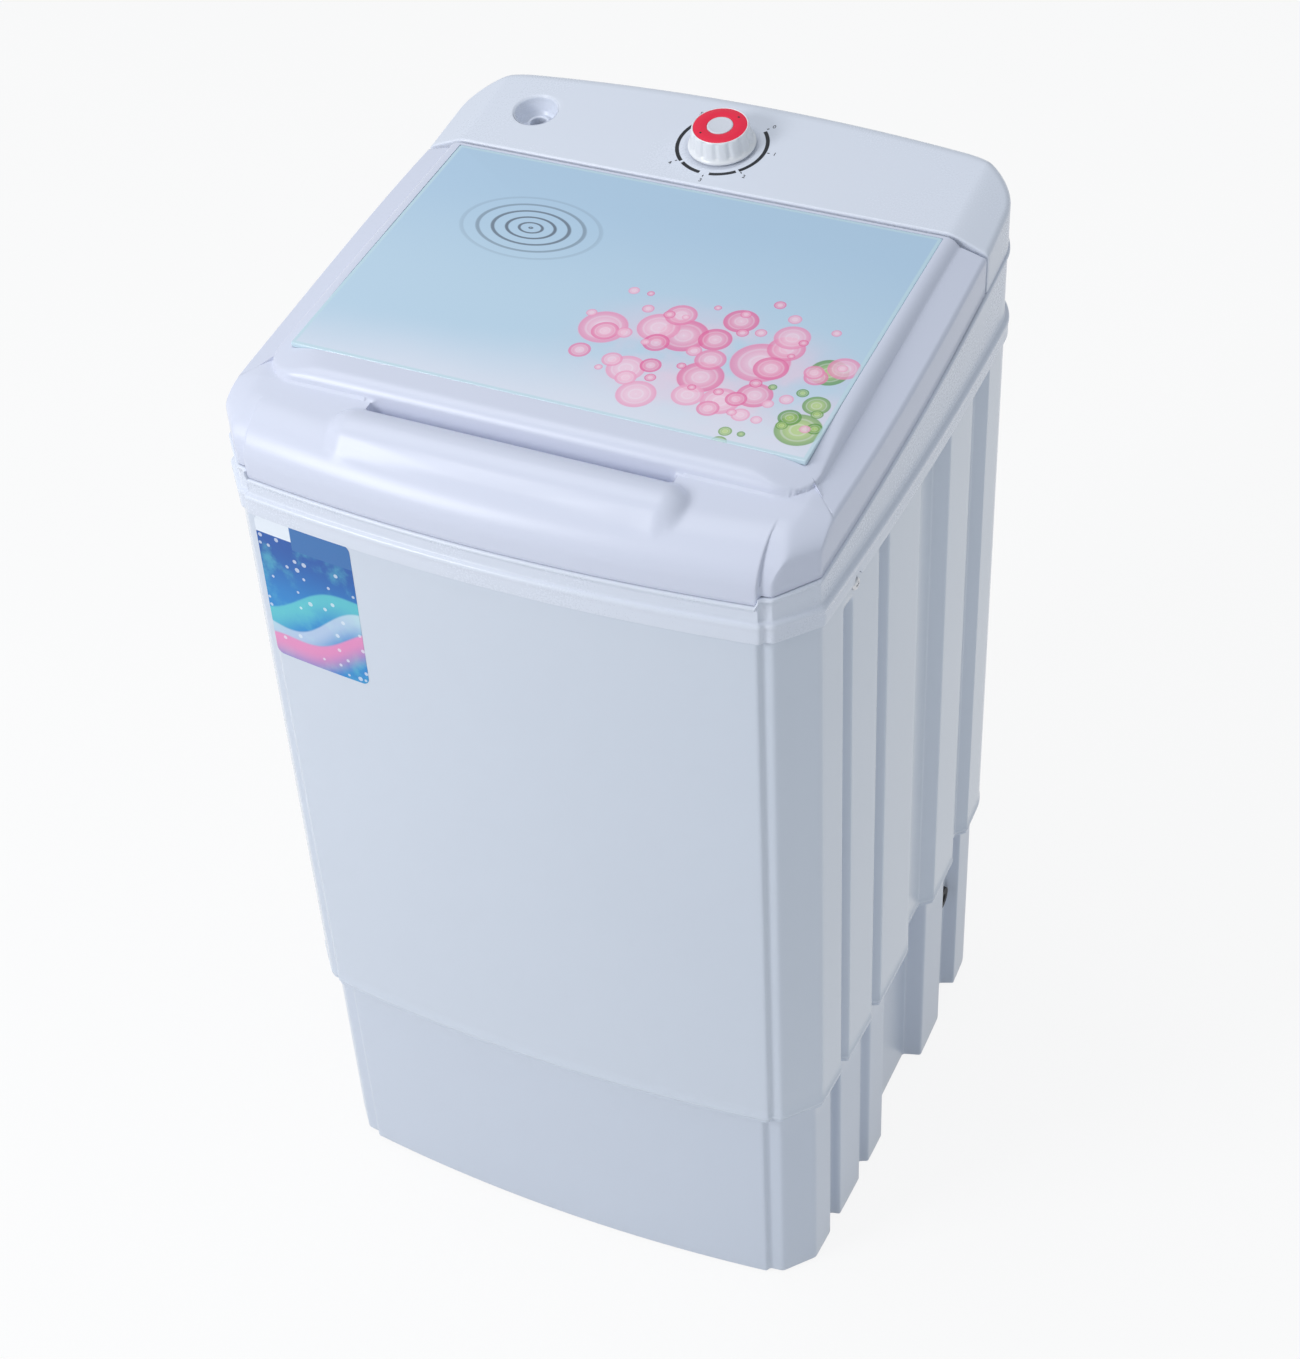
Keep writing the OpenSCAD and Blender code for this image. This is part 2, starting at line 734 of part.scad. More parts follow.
// The pocket that takes the glass, with an open window inside its ledge
module glass_seat() {
    ledge = 9;
    translate([0, 0, glass_z]) rotate([glass_slope, 0, 0]) {
        glass_block(-glass_t - fit, 40, 0.4);
        translate([0, 0, -60]) linear_extrude(100)
            translate([-glass_w / 2 + ledge, glass_front + ledge])
                square([glass_w - 2 * ledge, glass_back - glass_front - ledge - 1]);
    }
}

module glass_block(z0, h, grow) {
    translate([0, (glass_front + glass_back) / 2, z0]) linear_extrude(h)
        square([glass_w + 2 * grow, glass_back - glass_front + 2 * grow], center = true);
}

module lid_glass() {
    color([0.72, 0.84, 0.90]) translate([0, 0, glass_z]) rotate([glass_slope, 0, 0])
        glass_block(-glass_t, glass_t, 0);
}

liner_t = 2;
liner_back = hinge_y - 34;

// The inner cover that closes the underside of the lid
module lid_liner() {
    color("white") difference() {
        intersection() {
            translate([0, 0, low_z]) linear_extrude(150) plan(lid_out - lid_wall - fit);
            above(rim_z + lid_gap + 2, rim_slope);
            below(rim_z + lid_gap + 2 + liner_t, rim_slope);
            translate([-big / 2, handle_y + handle_r + 3, 0])
                cube([big, liner_back - handle_y - handle_r - 3, big]);
        }
        for (x = [-2 : 2]) translate([x * 44, -40, low_z]) cylinder(r = 4, h = 100);
    }
}

module hinge_pins() {
    color(metal_colour) for (s = [-1, 1])
        translate([s * lug_x - 8, hinge_y, hinge_z]) rotate([0, 90, 0]) cylinder(r = pin_r, h = 16);
}

striker_x = half_w - 94;
striker_gap = 1.8;        // from the striker to the panel's face

// The tongue on the lid's back edge that holds the safety switch closed
module lid_striker() {
    reach = panel_face - striker_gap - lid_back;
    color("white") translate([striker_x - 5, lid_back, lever_z - 17]) {
        cube([10, reach, 9]);
        translate([0, 0, 8]) cube([10, 1.5, 9]);
    }
}

// ---- Safety switch -----------------------------------------------------------------
lever_y = panel_face + 17;
lever_z = hinge_z - 1;
lever_r = 1.5;

module switch_case() {
    color("dimgray") difference() {
        translate([striker_x - 10, lever_y - 5, shelf_z + shelf_t])
            cube([20, 26, lever_z - shelf_z - shelf_t + 4]);
        translate([striker_x - 4.5, lever_y - 14, lever_z - 26]) cube([9, 34, 40]);
        translate([striker_x - 20, lever_y, lever_z]) rotate([0, 90, 0])
            cylinder(r = lever_r + run, h = 40);
    }
}

// A bell crank whose nose reaches through the panel's face to the striker
module switch_lever() {
    nose = lever_y - panel_face + striker_gap - fit;
    color("orangered") {
        translate([striker_x - 12, lever_y, lever_z]) rotate([0, 90, 0])
            cylinder(r = lever_r, h = 24);
        translate([striker_x - 3.5, lever_y, lever_z]) rotate([0, 90, 0])
            cylinder(r = 4, h = 7);
        translate([striker_x - 3.5, lever_y - 3, lever_z - 17]) cube([7, 5, 17]);
        translate([striker_x - 3.5, lever_y - nose, lever_z - 17]) cube([7, nose, 4.5]);
    }
}

// ---- Outer tub ---------------------------------------------------------------------
seal_r = 40;
tub_top = shelf_z;
flange_r = tub_r + 2;

module outer_tub() {
    color(tub_colour) difference() {
        translate(axis) rotate_extrude() polygon([
            [seal_r, tub_z - 6], [seal_r + 3, tub_z - 6], [seal_r + 3, tub_z],
            [tub_r - 6, tub_z], [tub_r, tub_z + 6],
            [tub_r, tub_top - 4], [flange_r, tub_top - 3], [flange_r, tub_top],
            [tub_r - tub_wall, tub_top],
            [tub_r - tub_wall, tub_z + 8], [tub_r - 8, tub_z + tub_wall],
            [seal_r + 3, tub_z + tub_wall], [seal_r + 3, tub_z + 6], [seal_r, tub_z + 6]]);
        translate([drain_x, drain_y, tub_z - 1]) cylinder(r = drain_r - 2, h = 10);
    }
}

bush_r = shaft_r + 6;
bush_top = tub_z + 12;

// The rubber boot between the tub floor and the shaft bearing
module tub_seal() {
    color(rubber_colour) translate(axis) rotate_extrude() polygon([
        [shaft_r + run, bush_top], [shaft_r + run, bush_top - 16], [bush_r, bush_top - 16],
        [bush_r + 2, tub_z - 3], [bush_r + 7, tub_z + 1], [bush_r + 11, tub_z - 4],
        [bush_r + 16, tub_z + 1], [bush_r + 20, tub_z - 4], [seal_r - fit, tub_z - 4],
        [seal_r - fit, tub_z + 4], [seal_r - 5, tub_z + 4],
        [seal_r - 5, tub_z - 1], [bush_r + 20, tub_z - 1], [bush_r + 16, tub_z + 4],
        [bush_r + 11, tub_z - 1], [bush_r + 7, tub_z + 4], [bush_r + 2, tub_z + 1],
        [bush_r, bush_top]]);
}

module seal_clamp() {
    color(metal_colour) translate(axis + [0, 0, tub_z + 4]) rotate_extrude()
        polygon([[seal_r - 5, 0], [seal_r - fit, 0], [seal_r - fit, 1.2], [seal_r - 5, 1.2]]);
}

// The pipe from the tub floor to the outlet in the back of the base
drain_bend = 26;

module drain_run(r, elbow_r, over) {
    translate([drain_x, drain_y, drain_out_z + drain_bend])
        cylinder(r = r, h = tub_z - drain_out_z - drain_bend + over);
    translate([drain_x, drain_y + drain_bend, drain_out_z + drain_bend]) rotate([0, 90, 0])
        rotate([0, 0, 180]) rotate_extrude(angle = 90) translate([drain_bend, 0]) circle(elbow_r);
    translate([drain_x, drain_y + drain_bend, drain_out_z]) rotate([-90, 0, 0])
        cylinder(r = r, h = half_d + 8 - drain_y - drain_bend + over);
}

module drain_pipe() {
    color("slategray") difference() {
        union() {
            drain_run(drain_r, drain_r + 1.5, 0);
            for (k = [0, 1]) translate([drain_x, half_d + 2 + 3 * k, drain_out_z])
                rotate([-90, 0, 0]) cylinder(r = drain_r + 1, h = 1.5);
        }
        drain_run(drain_r - 2, drain_r - 2.5, 1);
    }
}

// ---- Basket ------------------------------------------------------------------------
basket_z = tub_z + 22;
hub_h = 24;
hub_r = shaft_r + 14;
ring_in = mouth_r + 6;
ring_h = 18;
basket_h = shelf_z - ring_gap - ring_h - basket_z;

module basket() {
    color([0.86, 0.87, 0.88]) translate(axis) difference() {
        rotate_extrude() polygon([
            [shaft_r + run + 3, basket_z], [basket_r - 12, basket_z], [basket_r, basket_z + 12],
            [basket_r, basket_z + basket_h], [basket_r - basket_wall, basket_z + basket_h],
            [basket_r - basket_wall, basket_z + 13], [basket_r - 13, basket_z + 2.5],
            [shaft_r + run + 3, basket_z + 2.5]]);
        for (row = [0 : hole_rows - 1], i = [0 : hole_columns - 1])
            rotate((i + (row % 2) / 2) * 360 / hole_columns)
                translate([basket_r - 8, 0, basket_z + 34 + row * (basket_h - 70) / (hole_rows - 1)])
                    rotate([0, 90, 0]) cylinder(r = hole_r, h = 16, $fn = 24);
    }
}

module balance_ring() {
    color("white") translate(axis + [0, 0, basket_z + basket_h]) rotate_extrude() polygon([
        [ring_in + 2, 0], [basket_r - basket_wall - 0.1, 0], [basket_r - basket_wall - 0.1, -6],
        [basket_r - basket_wall - 3, -6], [basket_r - basket_wall - 3, -2], [ring_in, -2],
        [ring_in, ring_h - 3], [ring_in + 3, ring_h], [basket_r - 1, ring_h],
        [basket_r + 2, ring_h - 3], [basket_r + 2, 0.1], [ring_in + 2, 0.1]]);
}

module basket_hub() {
    color("gray") translate(axis + [0, 0, basket_z + 2.5]) rotate_extrude() polygon([
        [shaft_r, 0], [shaft_r, hub_h - 4], [0, hub_h - 4], [0, hub_h], [hub_r - 6, hub_h],
        [hub_r, 4], [hub_r + 10, 3], [hub_r + 10, 0]]);
}

module drive_shaft() {
    color(metal_colour) translate(axis + [0, 0, drum_z + 6])
        cylinder(r = shaft_r, h = basket_z + 2.5 + hub_h - 4 - drum_z - 6);
}

plate_r = ring_in - 8;

// The loose disc that is laid on the washing
module press_plate() {
    color("whitesmoke") translate(axis + [0, 0, basket_z + 2.5 + hub_h + fit]) difference() {
        union() {
            cylinder(r = plate_r, h = 3);
            tube(plate_r, plate_r - 3, 9);
            translate([0, 0, 3]) cylinder(r1 = 14, r2 = 10, h = 12);
        }
        for (i = [0 : 7]) rotate(i * 45) translate([plate_r * 0.62, 0, -1]) cylinder(r = 9, h = 6);
    }
}

// ---- Brake -------------------------------------------------------------------------
module brake_drum() {
    color("dimgray") translate(axis + [0, 0, drum_z]) rotate_extrude() polygon([
        [0, 0], [drum_r, 0], [drum_r, drum_h], [drum_r - 5, drum_h], [drum_r - 5, 5],
        [shaft_r + 10, 5], [shaft_r + 10, drum_h + 4], [shaft_r, drum_h + 4], [shaft_r, 6],
        [0, 6]]);
}

pivot = [drum_r + 8, -drum_r - 11];     // of the brake arm, from the motor's axis
pivot_r = 3;
pad_gap = 3;
arm_z = drum_z + 5;

module brake_pivot() {
    color(metal_colour) translate(axis + [pivot[0], pivot[1], bell_top])
        cylinder(r = pivot_r, h = arm_z + 12 - bell_top);
}

module brake_arm() {
    color(metal_colour) translate(axis) difference() {
        union() {
            translate([pivot[0], pivot[1], arm_z]) cylinder(r = 8, h = 9);
            translate([drum_r + pad_gap + 4, pivot[1], arm_z]) cube([4, 140, 9]);
            translate([drum_r + pad_gap + 4, pivot[1] + 132, arm_z]) cube([16, 8, 3]);
        }
        translate([pivot[0], pivot[1], arm_z - 1]) cylinder(r = pivot_r + run, h = 20);
    }
}

module brake_pad() {
    color("saddlebrown") translate(axis) intersection() {
        translate([drum_r, -13, arm_z + 1]) cube([pad_gap + 4, 26, 8]);
        translate([0, 0, arm_z]) tube(drum_r + 30, drum_r + pad_gap, 12);
    }
}

// ---- Motor -------------------------------------------------------------------------
bell_wall = 3;
bolt_reach = motor_r - 5.2;
bolt_r = 2;
bearing_r = shaft_r + 7;
bearing_h = 9;

// A dished end bell with a flat shoulder for the bolts and vents in its dome
module bell(z0, h, up) {
    dome = bolt_reach - 5;
    translate(axis + [0, 0, up ? z0 : z0 + h]) mirror([0, 0, up ? 0 : 1]) difference() {
        union() {
            rotate_extrude() polygon([
                [motor_r, 0], [motor_r, 5], [motor_r - 2, 7], [dome, 7], [dome - 0.5, 12],
                [dome - 5, h - 6], [bearing_r + 5, h - 4], [bearing_r + 5, h],
                [shaft_r + 2, h], [shaft_r + 2, h - bell_wall], [bearing_r, h - bell_wall],
                [bearing_r, h - bell_wall - bearing_h],
                [bearing_r + 3, h - bell_wall - bearing_h], [bearing_r + 3, h - 7],
                [dome - 7, h - 9], [dome - 3, 12], [dome - 2.6, 4], [motor_r - bell_wall, 4],
                [motor_r - bell_wall, 0]]);
            for (a = [45 : 90 : 315]) rotate(a) translate([bolt_reach, 0, 0])
                cylinder(r = 4.4, h = 6.5);
        }
        for (a = [45 : 90 : 315]) rotate(a) translate([bolt_reach, 0, -1])
            cylinder(r = bolt_r + run, h = 40);
        for (a = [0 : 45 : 315]) rotate(a + 22.5) translate([dome - 16, 0, h - 20])
            cylinder(r = 4.5, h = 30);
    }
}

module motor_upper_bell() {
    color("silver") difference() {
        bell(core_z + core_h, bell_top - core_z - core_h, true);
        translate(axis + [pivot[0], pivot[1], bell_top - 12]) cylinder(r = pivot_r, h = 20);
    }
    color("silver") translate(axis) brake_bracket();
}

ear_angles = [-58.7, -43.5];    // where the ear leaves the bell's rim

// The ear on the upper bell that carries the brake arm's pivot
module brake_bracket() {
    difference() {
        translate([0, 0, core_z + core_h + 1]) linear_extrude(4) polygon([
            for (a = ear_angles) (motor_r - 2) * [cos(a), sin(a)],
            [pivot[0] + 9, pivot[1] + 2], [pivot[0] + 4, pivot[1] - 8],
            [pivot[0] - 6, pivot[1] - 6]]);
        translate([0, 0, core_z]) cylinder(r = motor_r - 1, h = 100);
    }
    translate([pivot[0], pivot[1], core_z + core_h + 1])
        cylinder(r = 7, h = bell_top - core_z - core_h - 1);
}

module motor_lower_bell() {
    color("silver") bell(lower_z, core_z - lower_z, false);
}

bore_r = 30;
slots = 12;

module stator_core() {
    color("dimgray") translate(axis + [0, 0, core_z]) difference() {
        cylinder(r = motor_r, h = core_h);
        translate([0, 0, -1]) cylinder(r = bore_r, h = core_h + 2);
        for (a = [45 : 90 : 315]) rotate(a) translate([bolt_reach, 0, -1])
            cylinder(r = bolt_r + run, h = core_h + 2);
        for (i = [0 : slots - 1]) rotate(i * 360 / slots) translate([bore_r + 7, 0, -1])
            cylinder(r = 3.6, h = core_h + 2, $fn = 24);
    }
}

module stator_winding() {
    color("peru") translate(axis) {
        for (z = [core_z - 12, core_z + core_h]) translate([0, 0, z])
            rotate_extrude() translate([bore_r + 7, 6]) intersection() {
                circle(6);
                square([9, 12], center = true);
            }
        for (i = [0 : slots - 1]) rotate(i * 360 / slots) translate([bore_r + 7, 0, core_z - 4])
            cylinder(r = 3, h = core_h + 8, $fn = 24);
    }
}

rotor_r = bore_r - 0.6;

module rotor() {
    color("gray") translate(axis) {
        translate([0, 0, core_z]) cylinder(r = rotor_r, h = core_h);
        for (z = [core_z - 5, core_z + core_h]) translate([0, 0, z]) cylinder(r = rotor_r - 2, h = 5);
        translate([0, 0, lower_z + 1]) cylinder(r = shaft_r, h = drum_z - lower_z - 1);
    }
}

module bearing(z) {
    color(metal_colour) translate(axis + [0, 0, z]) tube(bearing_r, shaft_r + run, bearing_h);
}

module upper_bearing() {
    bearing(bell_top - bell_wall - bearing_h);
}

module lower_bearing() {
    bearing(lower_z + bell_wall);
}

module motor_bolts() {
    color(metal_colour) translate(axis) for (a = [45 : 90 : 315])
        rotate(a) translate([bolt_reach, 0, 0]) {
            translate([0, 0, plate_z - 3]) cylinder(r = bolt_r, h = core_z + core_h + 12 - plate_z + 3);
            translate([0, 0, core_z + core_h + 7]) cylinder(r = 3.8, h = 3.2, $fn = 6);
            translate([0, 0, plate_z - 3.5]) cylinder(r = 3.8, h = 3.5, $fn = 6);
        }
}

// Three-armed plate under the motor that rests on the springs
module motor_plate() {
    color(metal_colour) translate(axis + [0, 0, plate_z]) difference() {
        union() {
            cylinder(r = motor_r, h = plate_t);
            for (a = spring_angles) rotate(a) {
                translate([0, -15, 0]) cube([spring_reach, 30, plate_t]);
                translate([spring_reach, 0, 0]) cylinder(r = 15, h = plate_t);
            }
        }
        translate([0, 0, -1]) cylinder(r = 16, h = 10);
        for (a = [45 : 90 : 315]) rotate(a) translate([bolt_reach, 0, -1])
            cylinder(r = bolt_r + run, h = 10);
        for (a = spring_angles) rotate(a) translate([spring_reach, 0, -1]) cylinder(r = 4 + run, h = 10);
    }
}

cup_t = 3;
cap_t = 3;
spring_z0 = floor_top + cup_t;
spring_z1 = plate_z - cap_t;

module at_springs() {
    translate(axis) for (a = spring_angles) rotate(a) translate([spring_reach, 0, 0]) children();
}

module spring_cups() {
    color(rubber_colour) at_springs() translate([0, 0, floor_top]) difference() {
        cylinder(r = spring_r + 6, h = cup_t + 4);
        translate([0, 0, cup_t]) tube(spring_r + 3, cup_peg_r + 1.5, 10);
        translate([0, 0, -1]) cylinder(r = cup_peg_r + run, h = 20);
    }
}

module spring_caps() {
    color(rubber_colour) at_springs() {
        translate([0, 0, plate_z - cap_t]) cylinder(r = spring_r + 5, h = cap_t);
        translate([0, 0, plate_z - cap_t - 5]) cylinder(r = spring_r - spring_wire - 1.5, h = 6);
        translate([0, 0, plate_z - 1]) cylinder(r = 4, h = plate_t + 3);
    }
}

// A helix of round wire as one closed skin
function helix_ring(a, r, z, w, sides) =
    [for (j = [0 : sides - 1]) let (b = 360 * j / sides)
        [(r + w * cos(b)) * cos(a), (r + w * cos(b)) * sin(a), z + w * sin(b)]];

module helix(r, w, z0, z1, turns) {
    steps = 16;
    sides = 6;
    n = turns * steps;
    points = [for (i = [0 : n])
        each helix_ring(360 * i / steps, r, z0 + (z1 - z0) * i / n, w, sides)];
    walls = [for (i = [0 : n - 1], j = [0 : sides - 1]) let (k = (j + 1) % sides)
        [i * sides + j, i * sides + k, (i + 1) * sides + k, (i + 1) * sides + j]];
    ends = [[for (j = [sides - 1 : -1 : 0]) j], [for (j = [0 : sides - 1]) n * sides + j]];
    polyhedron(points, concat(walls, ends));
}

module springs() {
    color("silver") at_springs()
        helix(spring_r, spring_wire, spring_z0 + spring_wire + 0.05,
              spring_z1 - spring_wire - 0.05, 4);
}

// ---- Electrics in the base ---------------------------------------------------------
capacitor_at = [64 - half_w, half_d - 117.5];
capacitor_r = 17;

module capacitor() {
    color("lightgray") translate([capacitor_at[0], capacitor_at[1], floor_top + 4]) {
        cylinder(r = capacitor_r, h = 62);
        for (s = [-1, 1]) translate([s * 6 - 0.4, -3, 61]) cube([0.8, 6, 12]);
    }
}

module capacitor_clip() {
    color(metal_colour) translate([capacitor_at[0], capacitor_at[1], floor_top]) {
        cylinder(r = capacitor_r + 2, h = 4);
        translate([0, 0, 4]) tube(capacitor_r + 2, capacitor_r + run, 14);
    }
}

gland_floor = half_w - base_grooves[3][2];

// The rubber gland in the side of the base where the mains cord goes in
module cord_gland() {
    color(rubber_colour) translate([gland_floor, gland_y, gland_z]) rotate([0, 90, 0]) {
        difference() {
            union() {
                translate([0, 0, -base_wall - 4]) cylinder(r = gland_r, h = base_wall + 5);
                cylinder(r = gland_r + 2.5, h = 4);
                translate([0, 0, -base_wall - 4]) cylinder(r = gland_r + 2, h = 4);
            }
            translate([0, 0, -20]) cylinder(r = 3.5, h = 40);
        }
    }
}

base();
feet();
cabinet();
deck();
deck_screws();
base_screws();
control_panel();
inlet_funnel();
timer_case();
timer_shaft();
timer_knob();
knob_ring();
knob_centre();
lid_frame();
lid_glass();
lid_liner();
hinge_pins();
lid_striker();
switch_case();
switch_lever();
outer_tub();
tub_seal();
seal_clamp();
drain_pipe();
basket();
balance_ring();
basket_hub();
drive_shaft();
press_plate();
brake_drum();
brake_arm();
brake_pad();
brake_pivot();
motor_upper_bell();
motor_lower_bell();
stator_core();
stator_winding();
rotor();
upper_bearing();
lower_bearing();
motor_bolts();
motor_plate();
springs();
spring_cups();
spring_caps();
capacitor();
capacitor_clip();
cord_gland();
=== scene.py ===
import json
import logging
import math
from dataclasses import dataclass, field
from enum import Enum
from typing import Optional, Sequence

import bmesh
import bpy
import numpy as np
from mathutils import Matrix, Vector
from numpy.typing import NDArray

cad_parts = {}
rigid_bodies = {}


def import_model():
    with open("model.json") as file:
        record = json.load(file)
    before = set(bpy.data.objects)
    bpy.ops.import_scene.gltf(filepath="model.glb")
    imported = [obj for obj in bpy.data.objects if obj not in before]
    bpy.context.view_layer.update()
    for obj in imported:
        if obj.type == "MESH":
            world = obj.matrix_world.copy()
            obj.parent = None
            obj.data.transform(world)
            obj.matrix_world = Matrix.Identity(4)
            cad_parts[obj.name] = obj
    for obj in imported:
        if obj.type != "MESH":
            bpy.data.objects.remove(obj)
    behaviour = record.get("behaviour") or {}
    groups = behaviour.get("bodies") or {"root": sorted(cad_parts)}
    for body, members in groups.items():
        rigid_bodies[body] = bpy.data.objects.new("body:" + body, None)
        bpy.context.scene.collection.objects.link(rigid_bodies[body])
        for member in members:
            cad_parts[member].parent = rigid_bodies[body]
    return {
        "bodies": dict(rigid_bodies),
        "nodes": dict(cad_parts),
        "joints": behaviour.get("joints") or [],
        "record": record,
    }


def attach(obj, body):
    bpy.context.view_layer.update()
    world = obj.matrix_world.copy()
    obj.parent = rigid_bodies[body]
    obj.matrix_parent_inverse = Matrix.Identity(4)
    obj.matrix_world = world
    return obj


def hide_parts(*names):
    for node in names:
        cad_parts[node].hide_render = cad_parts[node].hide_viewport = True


Array = NDArray[np.float64]
Colour = tuple[float, float, float]
Profile = Sequence[tuple[float, float]]
Piece = bpy.types.Object
Socket = bpy.types.NodeSocket

LOG = logging.getLogger("spin_dryer")
FLOAT = "NodeSocketFloat"
COLOR = "NodeSocketColor"
VECTOR = "NodeSocketVector"
MM = 0.001
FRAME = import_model()


# ---- Small shaping functions, all in millimetres ----
def ease(t: Array) -> Array:
    """Smooth step: 0 below 0, 1 above 1, level at both ends."""
    t = np.clip(t, 0.0, 1.0)
    return t * t * (3.0 - 2.0 * t)


def soft_max(a: Array, b: Array, k: float) -> Array:
    """The larger of two heights, with a fillet about k wide where they meet."""
    return 0.5 * (a + b + np.sqrt((a - b) ** 2 + k * k))


def soft_ramp(s: Array, slope: float, k: float) -> Array:
    """A ramp that starts at s = 0 with a rounded foot of size k and rises by slope."""
    s = np.maximum(s, 0.0)
    return slope * (np.sqrt(s * s + k * k) - k)


def fallen(share: Array) -> Array:
    """How far a rolled edge has fallen, from 1 at the edge to 0 at a share of 1 of its run."""
    q = np.clip(1.0 - share, 0.0, 1.0)
    return 1.0 - np.sqrt(1.0 - q * q)


def rounded_box_distance(x: Array, y: Array, half: tuple[float, float], radius: float) -> Array:
    """Signed distance from a rounded rectangle centred on the origin, positive outside.

    Args:
        x: places across.
        y: places along.
        half: half width and half length.
        radius: corner radius.

    Returns:
        The distance at each place.
    """
    qx = np.abs(x) - half[0] + radius
    qy = np.abs(y) - half[1] + radius
    outside = np.hypot(np.maximum(qx, 0.0), np.maximum(qy, 0.0))
    return outside + np.minimum(np.maximum(qx, qy), 0.0) - radius


def loop_normals(loop: Array) -> Array:
    """Outward unit normals of a closed anticlockwise loop of shape (n, 2)."""
    along = np.roll(loop, -1, axis=0) - np.roll(loop, 1, axis=0)
    normal = np.stack([along[:, 1], -along[:, 0]], axis=1)
    return normal / np.linalg.norm(normal, axis=1, keepdims=True)


def smooth_loop(loop: Array, passes: int) -> Array:
    """Rounds the corners of an evenly stepped closed loop by repeated 1-2-1 averaging."""
    for _ in range(passes):
        loop = 0.25 * np.roll(loop, 1, axis=0) + 0.5 * loop + 0.25 * np.roll(loop, -1, axis=0)
    return loop


def raise_loop(loop: Array, z: Array | float) -> Array:
    """A loop of shape (n, 2) as points of shape (n, 3) at height z."""
    return np.column_stack([loop, np.broadcast_to(z, (len(loop),))])


def lathe(profile: Profile, steps: int = 96) -> Array:
    """A profile of (radius, height) turned about the Z axis.

    Args:
        profile: points from the bottom up on the outside.
        steps: points round the circle.

    Returns:
        A grid of shape (rows, steps, 3).
    """
    turn = np.arange(steps) * (2.0 * math.pi / steps)
    rz = np.asarray(profile, float)
    radius = rz[:, :1]
    return np.stack([radius * np.cos(turn), radius * np.sin(turn),
                     np.repeat(rz[:, 1:], steps, axis=1)], axis=2)


def round_profile(points: Profile, radius: float, steps: int = 4) -> Array:
    """Rounds each inner corner of an open polyline with a quadratic curve.

    Args:
        points: the polyline.
        radius: how far from a corner its curve starts, limited to half of either side.
        steps: points on each curve.

    Returns:
        The rounded polyline, of shape (n, 2).
    """
    p = np.asarray(points, float)
    out = [p[:1]]
    t = np.linspace(0.0, 1.0, steps + 1)[:, None]
    for a, b, c in zip(p[:-2], p[1:-1], p[2:]):
        into, away = a - b, c - b
        reach_in = min(radius, 0.5 * np.linalg.norm(into))
        reach_out = min(radius, 0.5 * np.linalg.norm(away))
        start = b + into / np.linalg.norm(into) * reach_in
        end = b + away / np.linalg.norm(away) * reach_out
        out.append((1 - t) ** 2 * start + 2 * t * (1 - t) * b + t ** 2 * end)
    out.append(p[-1:])
    return np.concatenate(out)


# ---- Meshes ----
def linked(name: str, data: bpy.types.ID) -> Piece:
    """A new object over some data, linked to the scene."""
    obj = bpy.data.objects.new(name, data)
    bpy.context.scene.collection.objects.link(obj)
    return obj


def smooth_object(name: str, mesh: bpy.types.Mesh, sharp: float) -> Piece:
    """A new object over a mesh, smooth but for edges sharper than an angle in degrees."""
    mesh.polygons.foreach_set("use_smooth", np.ones(len(mesh.polygons), bool))
    mesh.set_sharp_from_angle(angle=math.radians(sharp))
    return linked(name, mesh)


